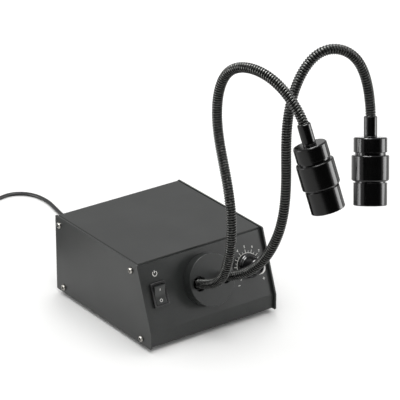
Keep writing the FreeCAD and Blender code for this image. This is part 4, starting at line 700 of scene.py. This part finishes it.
# Collar that carries both necks
collarFacts = {
    "diameter": 45, "thickness": 10, "recess": 12.5, "spacing": 26, "edge": 0.6,
    "bush": [(4.4, 0), (6.15, 0), (6.15, 6.1), (5.9, 6.5), (4.8, 6.5), (4.4, 6.1)], "bushLift": 0.2,
}


def makeCollar():
    facts = collarFacts
    disc = rod("neckCollar", facts["diameter"], facts["thickness"], (0, 0, facts["thickness"] / 2), 128)
    reach = facts["spacing"] / 2
    cutBy(disc, *[rod("recessCutter", facts["recess"], 30, (x, 0, 0)) for x in (-reach, reach)])
    roundEdges(disc, facts["edge"], 3, 50)
    markAxis(disc)
    smooth(settled(disc, onPanel(0)), 35)
    bushes = []
    for x in (-reach, reach):
        bush = spun("neckBush", facts["bush"], 48, closed=True)
        bushes.append(settled(bush, onPanel(x, 0, facts["bushLift"])))
    return disc, smooth(joined("neckBushes", bushes), 35)


collar, bushes = makeCollar()
dressed(collar, "root", "collarCoat", "collar_black", "neck_collar")
dressed(bushes, "root", "switchPlastic", "black_plastic", "neck_bushes")
print("collar made")


# Necks: wound strip on a smooth line, in two pieces that meet at the crown
neckFacts = {"crestRadius": 4.25, "seamRadius": 3.6, "turns": 155, "sidesPerTurn": 24, "leadIn": 9.8,
             "straightOut": 14.9, "straightIn": 6.4}
arms = {
    "left": {
        "x": -13,
        "shares": [(0.001, -0.358, 0.132), (-0.001, -0.477, 0.68), (0.002, -0.354, 1.141),
                   (-0.005, -0.19, 1.565), (0.012, -0.297, 2.102), (0.172, -0.817, 2.09)],
        "tip": (0.236, -1.052, 1.739), "aim": (0.133, -0.295, -0.946), "length": 332.9, "crown": 250.1,
        "swing": ((-13, -69, 49), (-13, -99, 176)), "tilt": ((-3.6, -125.3, 256.4), (10.6, -174.1, 222.7)),
        "steady": (0.96, 0.28, 0),
    },
    "right": {
        "x": 13,
        "shares": [(0.093, -0.359, 0.162), (0.166, -0.59, 0.623), (0.18, -0.587, 1.137),
                   (0.148, -0.589, 1.675), (0.368, -0.662, 2.215), (0.792, -0.83, 2.091)],
        "tip": (0.83, -0.837, 1.528), "aim": (-0.2, -0.28, -0.94), "length": 352.2, "crown": 256.5,
        "swing": ((13, -69, 49), (30, -128, 172)), "tilt": ((64.1, -140.8, 262.6), (96, -152.6, 201.6)),
        "steady": (0.8, 0.6, 0),
    },
}


def neckLine(word, arm):
    # the smooth line from the collar's face to the ferrule's mouth
    face = at(arm["x"], *panelMiddle) + panelOut * collarFacts["thickness"] * mm
    aim = Vector(arm["aim"]).normalized()
    mouth = face + Vector(arm["tip"]) * 100 * mm
    poles = [face, face + panelOut * neckFacts["straightOut"] * mm]
    poles += [face + Vector(share) * 100 * mm for share in arm["shares"]]
    poles += [mouth - aim * neckFacts["straightIn"] * mm, mouth]
    curve = bpy.data.curves.new(word + "NeckLine", "CURVE")
    curve.dimensions = "3D"
    curve.twist_mode = "MINIMUM"
    curve.use_deform_bounds = False
    line = curve.splines.new("NURBS")
    line.points.add(len(poles) - 1)
    for point, pole in zip(line.points, poles):
        point.co = (*pole, 1)
    line.order_u = 4
    line.use_endpoint_u = True
    line.resolution_u = 40
    guide = bpy.data.objects.new(word + "NeckLine", curve)
    bpy.context.scene.collection.objects.link(guide)
    return guide, mouth, aim


def woundStrip(name, arm, guide, firstTurn, lastTurn):
    # one turn's section, wound by a screw and bent along the neck's line
    facts = neckFacts
    pitch = arm["length"] / facts["turns"]
    low, high = facts["seamRadius"], facts["crestRadius"]
    section = [(0, low), (0.14, low), (0.25, high - 0.16), (0.41, high), (0.63, high), (0.79, high - 0.16),
               (0.9, low), (1, low)]
    piece = drawLine(name, [(share * pitch, 0, radius) for share, radius in section])
    bpy.ops.object.mode_set(mode="OBJECT")
    applyModifier(piece, "SCREW", axis="X", angle=math.tau, screw_offset=pitch * mm,
                  iterations=lastTurn - firstTurn, steps=facts["sidesPerTurn"],
                  render_steps=facts["sidesPerTurn"], use_merge_vertices=True, merge_threshold=weld)
    pick(piece)
    bpy.ops.object.mode_set(mode="EDIT")
    bpy.ops.mesh.select_all(action="SELECT")
    bpy.ops.mesh.remove_doubles(threshold=0.01 * mm)
    bpy.ops.mesh.fill_holes(sides=0)
    bpy.ops.mesh.normals_make_consistent(inside=False)
    bpy.ops.transform.translate(value=((firstTurn * pitch - facts["leadIn"]) * mm, 0, 0))
    bpy.ops.object.mode_set(mode="OBJECT")
    # 0 in the seams, 1 on the crests: the strip's material paints shade in the seams and a highlight on the
    #                                  crests from it
    crest = piece.data.attributes.new("crest", "FLOAT", "POINT")
    for i, point in enumerate(piece.data.vertices):
        crest.data[i].value = (math.hypot(point.co.y, point.co.z) / mm - low) / (high - low)
    applyModifier(piece, "CURVE", object=guide, deform_axis="POS_X")
    pick(piece)
    bpy.ops.object.shade_smooth_by_angle(angle=math.radians(50))
    return piece


# Heads, as (radius, distance from the ferrule's mouth)
headFacts = {
    "ferrule": [(4.4, 0), (4.85, 0), (5.45, 0.6), (5.45, 15.6), (5.25, 15.8), (5.25, 16.3), (5.45, 16.5),
                (5.45, 16.9), (4.25, 16.9), (4.25, 21), (2.5, 21), (2.5, 9.6), (4.4, 9.6)],
    "cap": [(4.35, 17), (12.75, 17), (13.65, 17.9), (13.65, 29), (12.45, 29), (12.45, 40), (10.85, 40),
            (10.85, 21), (4.35, 21)],
    "sleeve": [(12.55, 31.4), (14.7, 31.4), (15.3, 32), (15.3, 51.2), (14.1, 52.4), (12.55, 52.4)],
    "barrel": [(10.85, 42.1), (12.45, 42.1), (12.45, 53.6), (13.75, 53.6), (13.75, 71.6), (13.25, 72.1),
               (11.65, 72.1), (11.65, 66.1), (10.85, 66.1)],
    "ring": [(9.95, 69), (11.55, 69), (11.55, 70.6), (10.3, 70.6)],
    "guide": [(0, 9.8), (2.05, 9.8), (2.25, 10), (2.25, 22.8), (2.05, 23), (0, 23)],
    "lensRadius": 11.55, "lensFoot": 66.2, "lensEdge": 2.0, "lensCrown": 2.6,
}
# its profile, how far its edges are broken, its body and its node
turnedPieces = [
    ("ferrule", 0.12, "head", "ferrule"), ("cap", 0.25, "head", "head_cap"),
    ("sleeve", 0.2, "head", "grip_sleeve"), ("barrel", 0.15, "focus", "lens_barrel"),
    ("ring", 0.1, "focus", "lens_ring"),
]


def lensProfile():
    facts = headFacts
    r, edge, crown = facts["lensRadius"], facts["lensFoot"] + facts["lensEdge"], facts["lensCrown"]
    ball = (r * r + crown * crown) / (2 * crown)
    dome = [(r * (1 - i / 10),
             edge + math.sqrt(ball ** 2 - (r * (1 - i / 10)) ** 2) - (ball - crown)) for i in range(11)]
    return [(0, facts["lensFoot"]), (r - 0.15, facts["lensFoot"]), (r, facts["lensFoot"] + 0.15)] + dome


def makeHead(word, arm, mouth, aim):
    place = standing(mouth, aim, Vector(arm["steady"]))
    for key, edge, body, node in turnedPieces:
        piece = markAxis(roundEdges(spun(word + key.capitalize(), headFacts[key], 96, closed=True),
                                    edge, 2, 20))
        dressed(smooth(settled(piece, place), 30), word + "_" + body, "headAnodised", "head_black",
                word + "_" + node)
    lens = smooth(settled(spun(word + "Lens", lensProfile(), 72), place), 30)
    dressed(lens, word + "_focus", "glass", "lens_glass", word + "_lens")
    guideEnd = smooth(settled(spun(word + "GuideEnd", headFacts["guide"], 40), place), 30)
    dressed(guideEnd, word + "_head", "fibre", "light_guide")


for word, arm in arms.items():
    guide, mouth, aim = neckLine(word, arm)
    crownTurn = round((arm["crown"] + neckFacts["leadIn"]) / arm["length"] * neckFacts["turns"])
    lower = woundStrip(word + "NeckLower", arm, guide, 0, crownTurn)
    upper = woundStrip(word + "NeckUpper", arm, guide, crownTurn, neckFacts["turns"])
    bpy.data.objects.remove(guide)
    for piece, bodies, ends in ((lower, ("root", word + "_arm"), arm["swing"]),
                                (upper, (word + "_arm", word + "_head"), arm["tilt"])):
        piece.data.materials.clear()
        piece.data.materials.append(finishes["neckStrip"])
        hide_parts(word + "_gooseneck", word + "_light_guide")
        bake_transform(piece)
    makeHead(word, arm, mouth, aim)
    print(word, "neck and head made")


# Dimmer knob, with its painted pointer
knobFacts = {
    "x": 44, "lift": 0.6, "pointerAngle": 28, "pointerWidth": 1.3, "paint": 0.06,
    "profile": [(0, 13.8), (3.05, 13.8), (3.05, 8.1), (6.6, 8.1), (6.6, 0), (10.2, 0), (10.5, 0.3),
                (10.5, 2.6), (10.1, 3), (8.9, 3.05), (8.55, 3.4), (8.5, 4), (6.9, 13.2), (6.65, 13.9),
                (6.1, 14.4), (5.5, 14.5), (4.9, 14.35), (0, 14.2)],
    # (radius, height) just off the knob's skin, from its skirt to near its middle
    "pointer": [(10.35, 3.03), (9, 3.12), (8.62, 3.5), (8.55, 4), (6.97, 13.2), (6.7, 13.98), (6.1, 14.47),
                (5.5, 14.56), (4.8, 14.42), (1.8, 14.3)],
}


def makeKnob():
    facts = knobFacts
    knob = spun("dimmerKnob", facts["profile"], 96)
    place = onPanel(facts["x"], 0, facts["lift"])
    smooth(settled(knob, place), 30)
    dressed(knob, "dimmer", "knobGloss", "knob_gloss", "dimmer_knob")
    line = drawLine("knobPointer", [(r, 0, z) for r, z in facts["pointer"]])
    bpy.ops.mesh.select_all(action="SELECT")
    bpy.ops.mesh.extrude_region_move(TRANSFORM_OT_translate={"value": (0, facts["pointerWidth"] * mm, 0)})
    bpy.ops.mesh.select_all(action="SELECT")
    bpy.ops.transform.translate(value=(0, -facts["pointerWidth"] / 2 * mm, 0))
    bpy.ops.object.mode_set(mode="OBJECT")
    applyModifier(line, "SOLIDIFY", thickness=facts["paint"] * mm, offset=-1)
    pick(line)
    bpy.ops.object.mode_set(mode="EDIT")
    bpy.ops.mesh.select_all(action="SELECT")
    bpy.ops.mesh.normals_make_consistent(inside=False)
    bpy.ops.object.mode_set(mode="OBJECT")
    settled(line, place @ Matrix.Rotation(math.radians(facts["pointerAngle"]), 4, "Z"))
    dressed(line, "dimmer", "ink", "knob_gloss")


makeKnob()
print("knob made")


# Power switch: bezel with its body, and the rocker
switchFacts = {
    "x": -48, "bezel": (15, 21, 2), "corner": 1.3, "body": (12.8, 18.8, 13), "well": (10.9, 16.9),
    "rocker": 10.4, "tilt": 9, "rimEdge": 0.45, "caseEdge": 0.2, "rockerEdge": 0.35,
    "side": [(-7.75, 3.4), (-6.2, 2.92), (-3.4, 2.25), (-1.2, 2.02), (0, 2), (1.2, 2.02), (3.4, 2.25),
             (6.2, 2.92), (7.75, 3.4), (8.2, 0), (2.5, -6), (-2.5, -6), (-8.2, 0)],
    "onMark": (0, 4.6, 2.57), "onSize": (0.42, 2.3, 0.06),
    "offMark": (0, -4.7, 2.6), "offRing": [(1.0, -0.03), (1.38, -0.03), (1.38, 0.03), (1.0, 0.03)],
    "markSlope": 0.24,
}


def makeSwitch():
    facts = switchFacts
    rim = block("switchBezel", facts["bezel"], (0, 0, facts["bezel"][2] / 2))
    pick(rim)
    bpy.ops.object.mode_set(mode="EDIT")
    selectEdges(rim, lambda e: abs(e.verts[0].co.z - e.verts[1].co.z) > 0.001)
    bpy.ops.mesh.bevel(offset=facts["corner"] * mm, segments=5, affect="EDGES")
    bpy.ops.object.mode_set(mode="OBJECT")
    case = block("switchCase", facts["body"], (0, 0, -facts["body"][2] / 2))
    cutBy(rim, block("rimWell", (*facts["well"], 8), (0, 0, 0)))
    cutBy(case, block("caseWell", (*facts["well"], 16), (0, 0, 0)))
    roundEdges(rim, facts["rimEdge"], 3, 50)
    roundEdges(case, facts["caseEdge"], 1, 50)
    frameSet = smooth(settled(joined("switchFrame", [rim, case]), onPanel(facts["x"])), 35)
    dressed(frameSet, "root", "switchPlastic", "black_plastic", "switch_frame")
    rocker = plate("switchRocker", facts["side"], facts["rocker"])
    # outline to the side, thickness across
    onSide = Matrix(((0, 0, 1, -facts["rocker"] / 2 * mm), (1, 0, 0, 0), (0, 1, 0, 0), (0, 0, 0, 1)))
    roundEdges(settled(rocker, onSide), facts["rockerEdge"], 3, 40)
    tilted = onPanel(facts["x"]) @ Matrix.Rotation(math.radians(facts["tilt"]), 4, "X")
    smooth(settled(rocker, tilted), 40)
    dressed(rocker, "rocker", "rockerPlastic", "black_plastic", "switch_rocker")
    bar = block("rockerOnMark", facts["onSize"], (0, 0, 0))
    slope = math.atan(facts["markSlope"])
    settled(bar, Matrix.Translation(Vector(facts["onMark"]) * mm) @ Matrix.Rotation(slope, 4, "X"))
    ring = spun("rockerOffMark", facts["offRing"], 40, closed=True)
    settled(ring, Matrix.Translation(Vector(facts["offMark"]) * mm) @ Matrix.Rotation(-slope, 4, "X"))
    marks = settled(joined("rockerMarks", [bar, ring]), tilted)
    dressed(marks, "rocker", "ink", "black_plastic")


makeSwitch()
print("switch made")


# Printing on the panel: a plain numbered dial, a ramp, minus and plus, and the power sign
dialFacts = {
    "x": 44, "first": 225, "step": 27, "ticks": 11, "inner": 11.6, "arc": 0.4, "digitRadius": 16.9,
    "digitSize": 3.1, "ink": 0.05,
    "long": (14.4, 0.42), "short": (13.2, 0.3),    # a tick's reach and its width
    # the ramp's outer edge, as (radius, angle)
    "ramp": [(13.2, 8), (15.5, 0), (17.4, -12), (18, -20), (17.9, -27), (17, -34), (15.9, -39), (13.4, -46)],
    # minus and the two bars of plus: length, width, middle and the turn that follows
    "signs": [(2.2, 0.5, (-12.5, -13.9), 0), (2.4, 0.5, (13.2, -14.1), 0), (2.4, 0.5, (-14.1, -13.2), 90)],
}
powerFacts = {"x": -48, "up": 17.8, "radius": 2.1, "line": 0.48, "gap": 38, "stroke": 2.2, "strokeUp": 1.5}


def inkBar(length, width, centre, turn):
    bar = block("inkBar", (length, width, dialFacts["ink"]), (0, 0, 0))
    return settled(bar, Matrix.Rotation(math.radians(turn), 4, "Z")
                   @ Matrix.Translation(Vector((*centre, 0)) * mm))


def inkArc(radius, line, start, sweep, steps):
    half = dialFacts["ink"] / 2
    arc = spun("inkArc", [(radius - line / 2, -half), (radius + line / 2, -half), (radius + line / 2, half),
                          (radius - line / 2, half)], steps, sweep, closed=True)
    return settled(arc, Matrix.Rotation(math.radians(start), 4, "Z"))


def inkDigit(text, size, centre):
    clearSelection()
    bpy.ops.object.text_add()
    words = bpy.context.object
    words.data.body = text
    words.data.size = size * mm
    words.data.align_x = "CENTER"
    words.data.align_y = "CENTER"
    words.data.extrude = dialFacts["ink"] / 2 * mm
    words.data.offset = 0.02 * mm
    bpy.ops.object.convert(target="MESH")
    digit = bpy.context.object
    pick(digit)
    bpy.ops.object.mode_set(mode="EDIT")
    bpy.ops.mesh.select_all(action="SELECT")
    bpy.ops.mesh.remove_doubles(threshold=weld)
    bpy.ops.mesh.normals_make_consistent(inside=False)
    bpy.ops.object.mode_set(mode="OBJECT")
    return settled(digit, Matrix.Translation(Vector((*centre, 0)) * mm))


def printDial():
    facts = dialFacts
    marks = []
    for i in range(2 * facts["ticks"] - 1):
        turn = facts["first"] - i * facts["step"] / 2
        outer, width = facts["short"] if i % 2 else facts["long"]
        marks.append(inkBar(outer - facts["inner"], width, ((outer + facts["inner"]) / 2, 0), turn))
    for i in range(1, facts["ticks"] - 1):
        turn = math.radians(facts["first"] - i * facts["step"])
        marks.append(inkDigit(str(i), facts["digitSize"],
                              (facts["digitRadius"] * math.cos(turn), facts["digitRadius"] * math.sin(turn))))
    lowest = facts["first"] - facts["step"] * (facts["ticks"] - 1)
    arcRadius = facts["inner"] - facts["arc"] / 2
    marks.append(inkArc(arcRadius, facts["arc"], lowest, facts["first"] - lowest, 90))
    ramp = [(arcRadius, turn) for turn in range(-47, 11, 3)] + facts["ramp"]
    corners = [(r * math.cos(math.radians(turn)), r * math.sin(math.radians(turn))) for r, turn in ramp]
    marks.append(settled(plate("inkRamp", corners, facts["ink"]),
                         Matrix.Translation((0, 0, -facts["ink"] / 2 * mm))))
    marks += [inkBar(*sign) for sign in facts["signs"]]
    dial = settled(joined("dialPrint", marks), onPanel(facts["x"], 0, facts["ink"] / 2))
    dressed(dial, "root", "ink", "housing_paint")
    facts = powerFacts
    arc = inkArc(facts["radius"], facts["line"], 90 + facts["gap"], 360 - 2 * facts["gap"], 40)
    stroke = inkBar(facts["stroke"], facts["line"], (facts["strokeUp"], 0), 90)
    sign = settled(joined("powerSign", [arc, stroke]), onPanel(facts["x"], facts["up"], dialFacts["ink"] / 2))
    dressed(sign, "root", "ink", "housing_paint")


printDial()
print("panel printed")


# The rest of the frame keeps its own shape and takes its finish here
finishOfNode = {
    "guide_block": "aluminium", "heat_sink": "aluminium", "dimmer_pot": "aluminium",
    "dimmer_shaft": "aluminium", "condenser_lenses": "glass", "led_board": "whiteBoard",
    "led_emitters": "lampPhosphor", "sink_posts": "brass", "board_standoffs": "brass",
    "dimmer_nut": "screwPlate", "collar_screws": "screwPlate", "fan_frame": "switchPlastic",
    "fan_rotor": "switchPlastic", "driver_board": "greenBoard", "board_parts": "components",
    "supply_socket": "switchPlastic", "supply_adapter": "adapterPlastic", "adapter_pins": "nickel",
}

for node, finish in finishOfNode.items():
    for slot in nodes[node].material_slots:
        slot.material = finishes[finish]
print("frame pieces finished:", len(finishOfNode))


# Studio: a pale floor and soft light
studioFacts = {
    "floor": 12.0, "world": 0.75,
    # name, place, aim, size, power and what it lights: the low ones give the heads their bright bands
    "lights": [
        ("topSoftbox", (-0.4, -0.5, 1.2), (0, 0, 0.08), 0.6, 3, "all"),
        ("leftSoftbox", (-0.89, 0.45, 0.2), (0, 0, 0.08), 0.55, 10, "glossy"),
        ("rightSoftbox", (0.81, -0.59, 0.2), (0, 0, 0.08), 0.42, 5, "glossy"),
        ("skySoftbox", (0.1, 0.15, 1.6), (0.1, 0.15, 0), 1.2, 8, "diffuse"),
        ("farSoftbox", (0.8, 1.1, 1.2), (0.5, 0.7, 0), 0.8, 4, "diffuse"),    # keeps the floor behind white
        # shines along the tops of necks and knob
        ("highSoftbox", (0.03, -0.06, 0.55), (0.03, -0.1, 0.2), 0.22, 3.4, "glossy"),
    ],
    # a black card on the camera's side, seen in reflections alone
    "card": {"radius": 1250, "height": 650, "start": -166, "sweep": 108},
}


def buildStudio():
    clearSelection()
    bpy.ops.mesh.primitive_plane_add(size=studioFacts["floor"], location=at(0, 0, 0))
    floor = bpy.context.object
    floor.name = floor.data.name = "studioFloor"
    bpy.ops.object.transform_apply(location=True, rotation=True, scale=True)
    paper = startMaterial("whitePaper", {
        "Base Color": tint("#fafaf9"), "Roughness": 0.9, "Specular IOR Level": 0.2})[0]
    floor.data.materials.append(paper)
    facts = studioFacts["card"]
    card = spun("blackCard", [(facts["radius"], 0), (facts["radius"], facts["height"])], 36, facts["sweep"])
    settled(card, Matrix.Translation(at(0, 0, 0)) @ Matrix.Rotation(math.radians(facts["start"]), 4, "Z"))
    velvet = startMaterial("blackCard", {
        "Base Color": tint("#050505"), "Roughness": 1.0, "Specular IOR Level": 0.0})[0]
    card.data.materials.append(velvet)
    card.visible_camera = card.visible_diffuse = card.visible_shadow = card.visible_transmission = False
    world = bpy.data.worlds.new("studioWorld")
    world.use_nodes = True
    sky = world.node_tree.nodes["Background"]
    sky.inputs["Color"].default_value = (1, 1, 1, 1)
    sky.inputs["Strength"].default_value = studioFacts["world"]
    bpy.context.scene.world = world
    for name, place, aim, size, power, reach in studioFacts["lights"]:
        away = Vector(place) - Vector(aim)
        bpy.ops.object.light_add(type="AREA", location=at(0, 0, 0) + Vector(place),
                                 rotation=away.to_track_quat("Z", "Y").to_euler())
        lamp = bpy.context.object
        lamp.name = name
        lamp.data.size = size
        lamp.data.energy = power
        lamp.visible_camera = False
        lamp.visible_glossy = reach != "diffuse"
        lamp.visible_diffuse = reach != "glossy"
    bpy.context.scene.view_settings.view_transform = "Standard"
    bpy.context.scene.view_settings.look = "None"


buildStudio()
print("studio lit")
